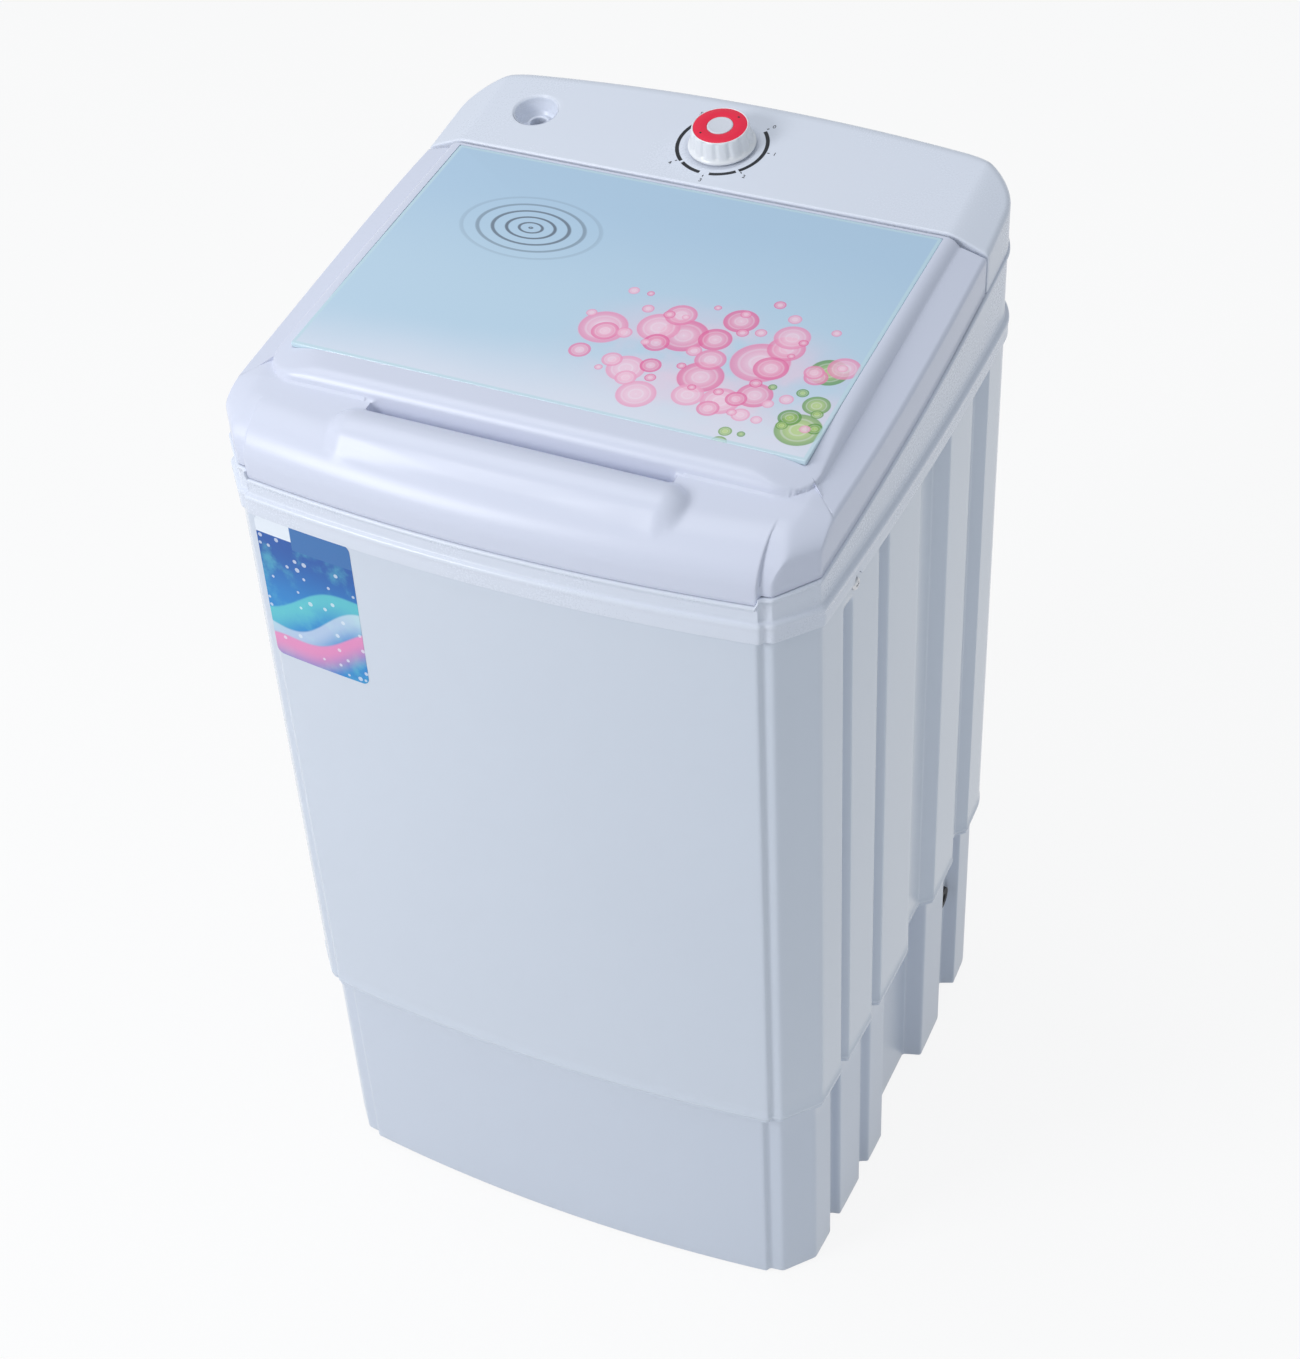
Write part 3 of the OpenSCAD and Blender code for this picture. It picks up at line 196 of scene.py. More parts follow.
@dataclass
class Surface:
    """A mesh gathered from grids of points, in millimetres."""

    points: list[Array] = field(default_factory=list)
    faces: list[NDArray[np.int64]] = field(default_factory=list)
    count: int = 0

    def grid(self, grid: Array, closed: bool = True, flip: bool = False,
             keep: Optional[NDArray[np.bool_]] = None) -> "Surface":
        """Adds a grid of quads.

        Args:
            grid: points of shape (rows, columns, 3).
            closed: whether the last column joins the first.
            flip: whether the faces turn the other way.
            keep: a mask of shape (rows - 1, columns), or one column fewer on an open grid,
                of the quads that stay.

        Returns:
            The surface itself.
        """
        rows, cols = grid.shape[:2]
        index = np.arange(rows * cols).reshape(rows, cols) + self.count
        right = np.roll(index, -1, axis=1)
        if not closed:
            index, right = index[:, :-1], right[:, :-1]
        quads = np.stack([index[:-1], right[:-1], right[1:], index[1:]], axis=-1)
        if keep is not None:
            quads = quads[keep]
        quads = quads.reshape(-1, 4)
        self.faces.append(quads[:, ::-1] if flip else quads)
        self.points.append(grid.reshape(-1, 3))
        self.count += rows * cols
        return self

    def zip(self, a: Array, b: Array) -> "Surface":
        """Joins two loops of different counts by triangles, in the order of their angles.

        Args:
            a: first loop of points of shape (n, 3), anticlockwise.
            b: second loop, which starts at the same angle.

        Returns:
            The surface itself.
        """
        stops = []
        for loop in (a, b):
            angle = np.unwrap(np.arctan2(loop[:, 1], loop[:, 0]))
            stops.append(np.append(np.maximum.accumulate(angle)[1:], angle[0] + 2 * math.pi))
        order = np.argsort(np.concatenate(stops), kind="stable")
        on_a = order < len(a)
        i, j = np.cumsum(on_a) - on_a, np.cumsum(~on_a) - ~on_a
        on_first = [place % len(a) + self.count for place in (i, i + on_a)]
        on_second = [place % len(b) + self.count + len(a) for place in (j + ~on_a, j)]
        self.faces.append(np.stack(on_first + on_second, axis=1))
        self.points += [a, b]
        self.count += len(a) + len(b)
        return self

    def arrays(self) -> tuple[Array, NDArray[np.int64]]:
        """The points and quads, with points at one place merged and points that no face uses
        dropped.
        """
        points = np.concatenate(self.points)
        faces = np.concatenate(self.faces)
        keys = np.round(points / 0.002).astype(np.int64)
        _, first, back = np.unique(keys, axis=0, return_index=True, return_inverse=True)
        faces = back.reshape(-1)[faces]
        used = np.unique(faces)
        renumber = np.zeros(len(first), np.int64)
        renumber[used] = np.arange(len(used))
        return points[first[used]], renumber[faces]

    def thick(self, wall: float) -> "Surface":
        """The surface with a wall inside it and its open edges closed.

        Each point is copied a wall's thickness against its normal, which is the mean of the
        normals of its faces, and every edge with one face gets a quad to its copy.

        Args:
            wall: thickness of the wall.

        Returns:
            A new closed surface.
        """
        points, faces = self.arrays()
        a, b, c, d = (points[faces[:, i]] for i in range(4))
        normal = np.cross(c - a, d - b)
        total = np.zeros_like(points)
        for i in range(4):
            np.add.at(total, faces[:, i], normal)
        total /= np.maximum(np.linalg.norm(total, axis=1, keepdims=True), 1e-12)
        edges = np.stack([faces, np.roll(faces, -1, axis=1)], axis=2).reshape(-1, 2)
        edges = edges[edges[:, 0] != edges[:, 1]]
        code = np.sort(edges, axis=1) @ np.array([len(points), 1])
        _, place, times = np.unique(code, return_index=True, return_counts=True)
        rim = edges[place[times == 1]]
        n = len(points)
        out = Surface()
        out.points = [points, points - total * wall]
        out.faces = [faces, faces[:, ::-1] + n,
                     np.stack([rim[:, 1], rim[:, 0], rim[:, 0] + n, rim[:, 1] + n], axis=1)]
        out.count = 2 * n
        return out

    def build(self, name: str, sharp: float = 38.0) -> Piece:
        """Makes the mesh object, smooth but for edges sharper than an angle.

        Args:
            name: name of the piece.
            sharp: angle in degrees above which an edge stays crisp.

        Returns:
            The new object, linked to the scene.
        """
        points, faces = self.arrays()
        mesh = bpy.data.meshes.new(name)
        polygons = []
        for quad in faces.tolist():
            ring = [v for i, v in enumerate(quad) if v != quad[i - 1]]
            if len(ring) > 2:
                polygons.append(ring)
        mesh.from_pydata((points * MM).tolist(), [], polygons)
        mesh.validate()
        return smooth_object(name, mesh, sharp)


def block(name: str, low: Sequence[float], high: Sequence[float], edge: float) -> Piece:
    """A box between two corners with rounded edges, as moulded ribs and posts have.

    Args:
        name: name of the piece.
        low: lowest corner in millimetres.
        high: highest corner in millimetres.
        edge: radius of the edges in millimetres.

    Returns:
        The new object.
    """
    mesh = bpy.data.meshes.new(name)
    bm = bmesh.new()
    bmesh.ops.create_cube(bm, size=1.0)
    lo, hi = np.asarray(low, float), np.asarray(high, float)
    bmesh.ops.scale(bm, vec=Vector((hi - lo) * MM), verts=bm.verts)
    bmesh.ops.translate(bm, vec=Vector((hi + lo) * 0.5 * MM), verts=bm.verts)
    bmesh.ops.bevel(bm, geom=bm.edges[:], offset=edge * MM, segments=3, profile=0.5,
                    affect="EDGES")
    bm.to_mesh(mesh)
    bm.free()
    return smooth_object(name, mesh, 50.0)


def soften(obj: Piece, edge: float) -> None:
    """Rounds the hard edges of a carried-over piece with modifiers only.

    Args:
        obj: the piece, whose mesh is loose triangles.
        edge: radius of its edges in millimetres.
    """
    weld = obj.modifiers.new("weld", "WELD")
    weld.merge_threshold = 0.00001
    bevel = obj.modifiers.new("edges", "BEVEL")
    bevel.width = edge * MM
    bevel.segments = 2
    bevel.limit_method = "ANGLE"
    bevel.angle_limit = math.radians(32)
    bevel.use_clamp_overlap = True
    bevel.harden_normals = True


# ---- The shared outline ----
@dataclass(frozen=True)
class Groove:
    """One upright groove in a side: where it runs, how deep it is and how its walls lean."""

    start: float
    end: float
    depth: float
    near_run: float
    far_run: float
    top: float = 1000.0


@dataclass(frozen=True)
class Outline:
    """The bowed and chamfered plan that the base, cabinet, deck and lid share.

    All sizes are in millimetres, for the outline of the base; other shells stand out from it.
    """

    half_width: float = 184.0
    half_depth: float = 187.5
    front_bow: float = 9.8
    side_bow: float = 3.8
    panel_half: float = 154.0
    step: float = 3.0
    reach: float = 237.0
    corner: float = math.radians(40.0)
    spacing: float = 1.2
    back_round: float = 31.5

    @property
    def front_arc(self) -> float:
        """Radius of the front and back."""
        return (self.panel_half ** 2 + self.front_bow ** 2) / (2 * self.front_bow)

    @property
    def side_arc(self) -> float:
        """Radius of the sides."""
        run = self.half_depth - 31.0
        return (run ** 2 + self.side_bow ** 2) / (2 * self.side_bow)

    def front_y(self, x: Array | float, out: float) -> Array | float:
        """How far the front stands from the middle at x."""
        arc = self.front_arc
        return (self.half_depth - arc) + np.sqrt((arc + out) ** 2 - np.square(x))

    def side_x(self, y: Array | float, out: float) -> Array | float:
        """How far a side stands from the middle at y."""
        arc = self.side_arc
        return (self.half_width - arc) + np.sqrt((arc + out) ** 2 - np.square(y))

    def chamfer_meets(self, out: float) -> tuple[float, float, float, float]:
        """Ends of the corner chamfer.

        Args:
            out: how far the shell stands out.

        Returns:
            x and y where it meets the front strip, then x and y where it meets the side.
        """
        nx, ny = math.cos(self.corner), math.sin(self.corner)
        x = np.linspace(self.panel_half, self.half_width + out, 4000)
        gap = nx * x + ny * self.front_y(x, out - self.step) - self.reach - out
        x_front = float(np.interp(0.0, gap, x))
        y = np.linspace(0.6 * self.half_depth, self.half_depth, 4000)
        gap = nx * self.side_x(y, out) + ny * y - self.reach - out
        y_side = float(np.interp(0.0, gap, y))
        return (x_front, float(self.front_y(x_front, out - self.step)),
                float(self.side_x(y_side, out)), y_side)

    def run(self, start: float, end: float, fine: float = 1.0) -> Array:
        """Even stations from start to end, without the end."""
        count = max(2, int(round(abs(end - start) / (self.spacing * fine))))
        return np.linspace(start, end, count, endpoint=False)

    def front_half(self, out: float) -> Array:
        """The front from the middle to the chamfer's far end, as points with y positive."""
        edge = self.panel_half + out
        x_front, y_front, x_side, y_side = self.chamfer_meets(out)
        face = self.run(0.0, edge)
        strip = self.run(edge + 0.3, x_front)
        t = self.run(0.0, math.hypot(x_side - x_front, y_side - y_front))
        t = t / max(t[-1] + self.spacing, 1.0)
        riser = np.array([[edge, float(self.front_y(edge, out))],
                          [edge + 0.15, float(self.front_y(edge, out)) - 0.5 * self.step]])
        return np.concatenate([
            np.column_stack([face, self.front_y(face, out)]), riser,
            np.column_stack([strip, self.front_y(strip, out - self.step)]),
            np.column_stack([x_front + t * (x_side - x_front), y_front + t * (y_side - y_front)])])

    def side(self, out: float, start: float, end: float, grooves: Sequence[Groove],
             z: float) -> Array:
        """One side from start to end.

        Args:
            out: how far the shell stands out.
            start: where it starts.
            end: where it ends.
            grooves: its grooves.
            z: the height, which tells which grooves reach it.

        Returns:
            Points of shape (n, 2), the same count at every height.
        """
        stops = [start]
        for g in grooves:
            stops += [g.start, g.start + g.near_run, g.end - g.far_run, g.end]
        stops.append(end)
        fine = [1.0] + [0.3, 1.0, 0.3, 1.0] * len(grooves)
        y = np.concatenate([self.run(a, b, f) for a, b, f in zip(stops[:-1], stops[1:], fine)])
        x = self.side_x(y, out)
        crown = self.half_width + out
        for g in grooves:
            if z > g.top:
                continue
            depth = g.depth * np.clip(np.minimum((y - g.start) / g.near_run,
                                                 (g.end - y) / g.far_run), 0.0, 1.0)
            x = np.where(depth > 0, np.minimum(x, crown - depth), x)
        return np.column_stack([x, y])

    def loop(self, out: float, grooves: Sequence[Groove] = (), z: float = 0.0,
             rounding: int = 2) -> Array:
        """The whole outline, anticlockwise from the middle of the front.

        Args:
            out: how far the shell stands out.
            grooves: the grooves of each side.
            z: the height.
            rounding: passes of corner rounding.

        Returns:
            Points of shape (n, 2).
        """
        quarter = self.front_half(out)
        y_side = self.chamfer_meets(out)[-1]
        front = quarter * (1.0, -1.0)
        right = self.side(out, -y_side, y_side, grooves, z)
        back = quarter[::-1]
        half = np.concatenate([front, right, back])
        left = half[1:-1][::-1] * (-1.0, 1.0)
        return self.round_back(smooth_loop(np.concatenate([half, left]), rounding), out)

    def round_back(self, loop: Array, out: float) -> Array:
        """Rounds the two corners at the back, all shells about the same two middles.

        A point past the arc is drawn towards the arc's middle until it lies on the arc.

        Args:
            loop: points of shape (n, 2).
            out: how far the shell stands out.

        Returns:
            The rounded loop.
        """
        radius = self.back_round + out
        x, y = np.abs(loop[:, 0]), loop[:, 1]
        for _ in range(3):
            side, back = self.side_x(y, out), self.front_y(x, out)
            across, along = radius - side + x, radius - back + y
            far = np.hypot(across, along)
            past = (across > 0) & (along > 0) & (far > radius)
            x, y = (np.where(past, side - radius + across * radius / far, x),
                    np.where(past, back - radius + along * radius / far, y))
        return np.column_stack([np.copysign(x, loop[:, 0]), y])

    def cut_loop(self, out: float, cut: float, behind: bool, rounding: int = 1) -> Array:
        """The part of the outline in front of or behind a straight cut across.

        Args:
            out: how far the shell stands out.
            cut: the y of the cut.
            behind: whether the part behind the cut is kept.
            rounding: passes of corner rounding.

        Returns:
            A closed anticlockwise loop.
        """
        quarter = self.front_half(out)
        y_side = self.chamfer_meets(out)[-1]
        far = y_side if behind else -y_side
        y = self.run(far, cut)
        side = np.column_stack([self.side_x(y, out), y])
        corner = float(self.side_x(cut, out))
        across = self.run(corner, 0.0, 1.6)
        edge = np.column_stack([across, np.full(len(across), cut)])
        half = np.concatenate([quarter * (1.0, 1.0 if behind else -1.0), side, edge, [[0.0, cut]]])
        if behind:
            half = half[::-1]
        left = half[1:-1][::-1] * (-1.0, 1.0)
        return self.round_back(smooth_loop(np.concatenate([half, left]), rounding), out)


@dataclass(frozen=True)
class Levels:
    """Heights and slopes that the shells share, in millimetres."""

    floor_edge: float = 2.0
    seam: float = 171.0
    skirt: float = 574.5
    bead: float = 588.0
    rim: float = 621.6
    rim_rise: float = math.tan(math.radians(5.6))
    rim_front: float = 599.0
    glass: float = 659.9
    glass_rise: float = math.tan(math.radians(4.5))
    panel_rise: float = math.tan(math.radians(10.0))
    lid_back: float = 100.3
    panel_front: float = 102.8

    @property
    def panel_top(self) -> float:
        """Height of the panel's front edge."""
        return self.glass + self.glass_rise * (self.panel_front - 1.0)

    def rim_at(self, loop: Array, edge: float = 160.0) -> Array:
        """Height of the rim over each point: a slope, stepped down along the front panel."""
        slope = self.rim + self.rim_rise * loop[:, 1]
        front = ease((edge + 1.0 - np.abs(loop[:, 0])) / 2.0) * (loop[:, 1] < -165.0)
        return slope + front * (np.minimum(slope, self.rim_front) - slope)


OUTLINE = Outline()
LEVELS = Levels()


def sweep(loop: Array, profile: Profile) -> Array:
    """A loop carried along a profile.

    Each row is the loop moved out along its normals by the profile's first value and set at
    the height of its second.

    Args:
        loop: points of shape (n, 2).
        profile: pairs of offset and height.

    Returns:
        A grid of shape (rows, n, 3).
    """
    normal = loop_normals(loop)
    return np.stack([raise_loop(loop + normal * off, z) for off, z in profile])


# ---- Base and cabinet ----
@dataclass
class Body:
    """The stepped base and the cabinet above it."""

    base_grooves: tuple[Groove, ...] = (
        Groove(-130, -113, 9, 2, 2), Groove(-79, -62, 6.5, 2, 3),
        Groove(-36, 45, 13, 3, 4), Groove(85, 123, 12, 3, 5))
    cabinet_grooves: tuple[Groove, ...] = (
        Groove(-127, -113, 8.5, 2, 4, 562.0), Groove(-75, -60, 7.5, 2, 4),
        Groove(-10, 43, 8.7, 24, 8), Groove(84, 120, 8.7, 3, 10))
    cabinet_out: float = 6.0
    cabinet_wall: float = 2.5
    base_wall: float = 3.0
    flange: float = 2.5
    neck_in: float = 8.0
    neck_height: float = 10.0
    floor_low: float = 8.0
    floor_high: float = 11.0

    def cabinet(self) -> Piece:
        """The upper shell: a double lip at the seam, then straight walls up under the deck."""
        top, seam, wall = LEVELS.bead - 4.0, LEVELS.seam, self.cabinet_wall
        full = OUTLINE.loop(self.cabinet_out, self.cabinet_grooves, 0.0)
        upper = OUTLINE.loop(self.cabinet_out, self.cabinet_grooves, 563.0)
        lip = [(-wall, seam + 0.4), (-1.2, seam + 0.05), (-0.5, seam + 0.15), (0.2, seam + 0.6),
               (0.45, seam + 1.3), (0.45, seam + 3.4), (0.2, seam + 3.9), (0.0, seam + 4.3)]
        low = sweep(full, lip + [(0.0, z) for z in np.linspace(seam + 12, 558.0, 12)])
        blend = np.linspace(0.0, 1.0, 7)[1:, None]
        arch = np.stack([raise_loop(full + (upper - full) * ease(t), 558.0 + 6.0 * float(t[0]))
                         for t in blend])
        high = sweep(upper, [(0.0, 569.0), (0.0, 576.0), (0.0, top), (-wall, top)])
        inside = sweep(upper, [(-wall, 566.0)])
        inner_low = sweep(full, [(-wall, 556.0), (-wall, seam + 0.4)])
        grid = np.concatenate([low, arch, high, inside, inner_low])
        return Surface().grid(grid).build("cabinet_shell")

    def base(self) -> Piece:
        """The lower shell: grooved walls, the floor inside, and the flange and neck on top."""
        seam, low = LEVELS.seam, LEVELS.floor_edge
        shelf, collar = seam - self.flange, seam + self.neck_height
        loop = OUTLINE.loop(0.0, self.base_grooves)
        over = OUTLINE.loop(self.cabinet_out - 0.5, self.cabinet_grooves)
        neck = OUTLINE.loop(-self.neck_in)
        w = self.base_wall
        walls = sweep(loop, [(-w, low + 0.3), (-w + 0.5, low), (-0.6, low), (-0.15, low + 0.3),
                             (0.0, low + 0.9)]
                      + [(0.0, z) for z in np.linspace(low + 8, shelf - 1.2, 8)]
                      + [(0.3, shelf - 0.3)])
        inner = sweep(loop, [(-w, self.floor_low), (-w, low + 0.3)])
        shell = Surface().grid(np.concatenate([inner[:1], walls]))
        lap = sweep(over, [(-1.5, shelf), (-0.4, shelf), (0.0, shelf + 0.4), (0.0, seam - 0.4),
                           (-0.4, seam), (-3.0, seam)])
        shell.grid(lap)
        shell.zip(walls[-1], lap[0])
        up = sweep(neck, [(0.0, seam), (0.0, collar - 0.5), (-0.5, collar),
                          (-self.flange, collar), (-self.flange, shelf)])
        shell.grid(up)
        shell.zip(lap[-1], up[0])
        self.fill(shell, inner[0], self.floor_low, True)
        inside = sweep(loop, [(-w, seam - 2.6), (-w, self.floor_high)])
        shell.grid(inside)
        self.fill(shell, inside[-1], self.floor_high, False)
        shell.zip(up[-1], inside[0])
        return shell.build("base_shell")

    @staticmethod
    def fill(shell: Surface, loop: Array, z: float, down: bool) -> None:
        """Fills a loop with a flat floor of rings that shrink to a closed middle."""
        rings = [np.column_stack([loop[:, :2] * s, np.full(len(loop), z)])
                 for s in (1.0, 0.97, 0.7, 0.35, 0.02)]
        rings.append(np.zeros_like(loop) + (0.0, 0.0, z))
        shell.grid(np.stack(rings), flip=down)


# ---- Top frame ----
@dataclass
class Deck:
    """The top frame: skirt, bead, sloping band, basin floor, mouth, bulkhead and hinge posts."""

    skirt_out: float = 8.5
    floor: float = 587.0
    mouth: float = 110.0
    mouth_y: float = -22.0
    collar_low: float = 566.0
    screw_y: float = -112.0
    screw_x: float = 120.0
    screw_drop: float = 3.5
    arch: float = 5.6
    post_x: float = 140.0
    post_wide: float = 5.0
    hinge: tuple[float, float] = (92.0, 657.0)
    bulkhead: tuple[float, float, float] = (109.0, 111.5, 626.0)

    def bump(self, loop: Array) -> Array:
        """How far the skirt's edge rises over each side screw, a small round arch."""
        off = loop[:, 1] - self.screw_y
        rise = np.sqrt(np.maximum(self.arch ** 2 - off ** 2, 0.0)) - 1.2
        return np.maximum(rise, 0.0) * (np.abs(loop[:, 0]) > 180.0)

    def rows(self, loop: Array) -> Array:
        """The frame's section carried round the outline, from inside the skirt to the floor."""
        skirt, bead = LEVELS.skirt, LEVELS.bead
        normal = loop_normals(loop)
        rim = LEVELS.rim_at(loop)
        bump = self.bump(loop)

        round_loop = smooth_loop(loop, 24)
        round_normal = loop_normals(round_loop)

        def row(off: float, z: Array | float) -> Array:
            return raise_loop(loop + normal * off, z)

        def inner_row(off: float, z: Array | float) -> Array:
            return raise_loop(round_loop + round_normal * off, z)

        lower = [row(-2.2, 584.0), row(-2.2, skirt + 0.6 + bump), row(-1.7, skirt + 0.1 + bump),
                 row(-0.6, skirt + bump), row(-0.15, skirt + 0.3 + bump),
                 row(0.0, skirt + 0.9 + bump), row(-0.1, skirt + 6.0), row(-0.1, bead - 4.4),
                 row(0.1, bead - 3.6), row(0.35, bead - 2.8), row(0.4, bead - 1.9),
                 row(0.15, bead - 1.0), row(-0.4, bead - 0.35), row(-1.1, bead),
                 row(-1.9, bead + 0.25), row(-2.4, bead + 0.7), row(-2.65, bead + 1.5)]
        start, stop = bead + 2.6, rim - 3.4
        shape = [(-2.75, 0.0), (-2.8, 0.35), (-2.8, 0.7), (-2.7, 1.0)]
        band = [row(off, start + (stop - start) * t) for off, t in shape]
        lip = [row(-2.2, rim - 2.8), row(-1.6, rim - 2.3), row(-1.3, rim - 1.6),
               row(-1.35, rim - 0.9), row(-1.7, rim - 0.35), row(-2.3, rim - 0.05),
               row(-3.1, rim), row(-4.3, rim), row(-4.7, rim - 0.25),
               inner_row(-4.9, rim - 0.8), inner_row(-5.0, rim - 3.0),
               inner_row(-5.2, self.floor + 2.0), inner_row(-5.6, self.floor + 0.6),
               inner_row(-6.8, self.floor)]
        return np.stack(lower + band + lip)

    def shell(self) -> Piece:
        """The frame with its floor and the round mouth with its hanging collar."""
        loop = OUTLINE.loop(self.skirt_out)
        grid = self.rows(loop)
        inner = grid[-1]
        angle = np.arctan2(inner[:, 1] - self.mouth_y, inner[:, 0])
        ring = np.column_stack([np.cos(angle), np.sin(angle)])
        middle = np.array([0.0, self.mouth_y])

        def circle(radius: float, z: float) -> Array:
            return raise_loop(middle + ring * radius, z)

        floor, low = self.floor, self.collar_low
        collar = [circle(self.mouth + off, z) for off, z in (
            (6.0, floor), (2.5, floor - 0.3), (0.9, floor - 1.2), (0.0, floor - 3.0),
            (0.0, low + 0.8), (0.6, low), (1.9, low), (2.5, low + 0.8), (2.5, floor - 3.0),
            (30.0, floor - 3.0))]
        fine = [self.blend(inner, collar[0], t) for t in (0.25, 0.5, 0.75)]
        closing = [self.blend(collar[-1], grid[0], t) for t in (0.5, 1.0)]
        rows = np.concatenate([grid, np.stack(fine + collar + closing)])
        return Surface().grid(rows).build("deck_shell")

    @staticmethod
    def blend(a: Array, b: Array, t: float) -> Array:
        """The loop a share t of the way from a to b."""
        return a + (b - a) * t

    def fittings(self) -> list[Piece]:
        """The bulkhead in front of the dry bay and the two hinge posts with their feet."""
        low, high, top = self.bulkhead
        made = [block("bulkhead", (-184.5, low, self.floor - 0.5), (184.5, high, top), 0.6)]
        hy, hz = self.hinge
        for side, tag in ((-1, "left"), (1, "right")):
            x0 = side * self.post_x - self.post_wide / 2
            x1 = side * self.post_x + self.post_wide / 2
            post = Surface()
            turn = np.linspace(0.0, math.pi, 13)
            arc = np.column_stack([hy + 4.0 * np.cos(turn), hz + 4.0 * np.sin(turn)])
            side_line = np.concatenate([[[hy + 4.0, self.floor - 0.5]], arc,
                                        [[hy - 4.0, self.floor - 0.5]]])
            strip = np.stack([np.column_stack([np.full(len(side_line), x), side_line])
                              for x in (x0, x0 + 0.5, x1 - 0.5, x1)])
            middle = np.array([hy, hz - 4.0])
            inner = middle + (side_line - middle) * (0.86, 0.985)
            strip[0, :, 1:] = inner
            strip[-1, :, 1:] = inner
            core = np.broadcast_to(middle, side_line.shape)
            ends = [np.column_stack([np.full(len(side_line), x), core]) for x in (x0, x1)]
            post.grid(np.concatenate([[ends[0]], strip, [ends[1]]]))
            made.append(post.build(f"hinge_post_{tag}"))
            made.append(block(f"post_foot_{tag}", (x0, hy - 14, self.floor - 0.5),
                              (x1, hy + 8, self.floor + 33.5), 0.8))
        return made


# ---- Lid ----
@dataclass
class Lid:
    """The hinged lid: a moulded frame with a raised glass pad, a handle and a finger slot."""

    out: float = 5.8
    gap: float = 1.5
    front_sag: float = 1.1
    wall: float = 2.5
    glass_half: float = 161.8
    glass_front: float = -117.0
    glass_back: float = 97.4
    glass_deep: float = 3.3
    ledge: float = 9.0
    pad_half: float = 162.5
    pad_front: float = -130.0
    pad_round: float = 14.0
    pad_run: float = 9.0
    pad_drop: float = 8.5
    ground_drop: float = 8.7
    ground_rise: float = 3.5
    roll_run: float = 28.0
    roll_drop: float = 22.0
    corner_low: float = 624.0
    corner_run: float = 23.0
    corner_rise: float = 17.0
    handle_y: float = -159.5
    handle_z: float = 626.0
    handle_r: float = 18.0
    handle_half: float = 96.0
    slot_half: float = 95.5
    slot: tuple[float, float] = (-148.0, -139.0)
    slot_floor: float = 630.0
    notch_x: float = 140.0
    notch_half: float = 3.4
    notch_top: float = 662.7
    edge_rows: int = 12
    shoulder_x: float = 170.0
    shoulder_slope: float = 0.3
    nose_y: float = -139.0
    nose_slope: float = 0.097

    def outline(self) -> tuple[Array, NDArray[np.bool_]]:
        """The lid's plan and a mask of the points on its straight back edge."""
        loop = OUTLINE.cut_loop(self.out, LEVELS.lid_back, False)
        back = loop[:, 1] > LEVELS.lid_back - 0.02
        loop[back, 1] = LEVELS.lid_back
        for mark in (-self.notch_x - self.notch_half, -self.notch_x + self.notch_half,
                     self.notch_x - self.notch_half, self.notch_x + self.notch_half):
            near = np.argsort(np.where(back, np.abs(loop[:, 0] - mark), np.inf))[:2]
            near = near[np.argsort(loop[near, 0])]
            loop[near, 0] = (mark - 0.05, mark + 0.05)
        return loop, back

    def top(self, x: Array, y: Array) -> Array:
        """Height of the upper surface.

        The pad follows the sloped glass and falls in a quarter ellipse to the ground about it.
        The ground slopes on, and rolls down in a quarter ellipse to the front, by a square root
        at the front corners, and in small quarter circles at the sides and back. The handle is
        a lying cylinder with round ends, blended on, and the slot is sunk behind it.

        Args:
            x: places across.
            y: places along.

        Returns:
            The height at each place.
        """
        plane = LEVELS.glass + LEVELS.glass_rise * y
        far = 230.0
        s = rounded_box_distance(x, y - 0.5 * (far + self.pad_front),
                                 (self.pad_half, 0.5 * (far - self.pad_front)), self.pad_round)
        u = np.clip(s / self.pad_run, 0.0, 1.0)
        beyond = np.maximum(s - self.pad_run, 0)
        pad = plane - self.pad_drop * (1.0 - np.sqrt(1.0 - u * u)) - 3.0 * beyond
        ground = (plane - self.ground_drop
                  - soft_ramp(np.abs(x) - self.shoulder_x, self.shoulder_slope, 3.0)
                  + self.ground_rise * ease((y + 110.0) / 200.0)
                  - self.nose_slope * np.maximum(self.nose_y - y, 0.0))
        z = soft_max(pad, ground, 0.9)
        edge = OUTLINE.panel_half + self.out
        riser = OUTLINE.step * ease((np.abs(x) - edge) / 0.6)
        e_front = OUTLINE.front_y(x, self.out) - riser + np.minimum(y, 0.0) + 400.0 * (y > 0)
        e_side = OUTLINE.side_x(y, self.out) - np.abs(x)
        e_back = LEVELS.lid_back - y
        drop = self.roll_drop * fallen(e_front / self.roll_run)
        for distance, radius in ((e_side, 2.5), (e_back, 1.5)):
            drop = np.maximum(drop, radius * fallen(distance / radius))
        z = z - drop
        nx, ny = math.cos(OUTLINE.corner), math.sin(OUTLINE.corner)
        e_corner = OUTLINE.reach + self.out - nx * np.abs(x) + ny * np.minimum(y, 0.0)
        e_corner = np.where(y > 0, 500.0, np.maximum(e_corner, 0.0))
        corner = self.corner_low + self.corner_rise * np.sqrt(e_corner / self.corner_run)
        z = -soft_max(-z, -corner, 1.2)
        q = (1.0 - ((y - self.handle_y) / self.handle_r) ** 2
             - (np.maximum(np.abs(x) - self.handle_half, 0.0) / self.handle_r) ** 2)
        handle = np.where(q > 0, self.handle_z + self.handle_r * np.sqrt(np.maximum(q, 0.0)), 600.0)
        z = soft_max(z, handle, 1.6)
        return z - (z - self.slot_floor) * self.slot_mask(x, y, 0.0, 0.7)

    def slot_mask(self, x: Array, y: Array, grow: float, soft: float) -> Array:
        """1 inside the finger slot and 0 outside.

        Args:
            x: places across.
            y: places along.
            grow: how far the slot is widened.
            soft: how far the step is spread.

        Returns:
            The mask at each place.
        """
        low, high = self.slot
        half = 0.5 * (high - low)
        middle = 0.5 * (high + low)
        d = np.hypot(np.maximum(np.abs(x) - self.slot_half + half, 0.0), y - middle) - half - grow
        return ease(0.5 - d / soft)

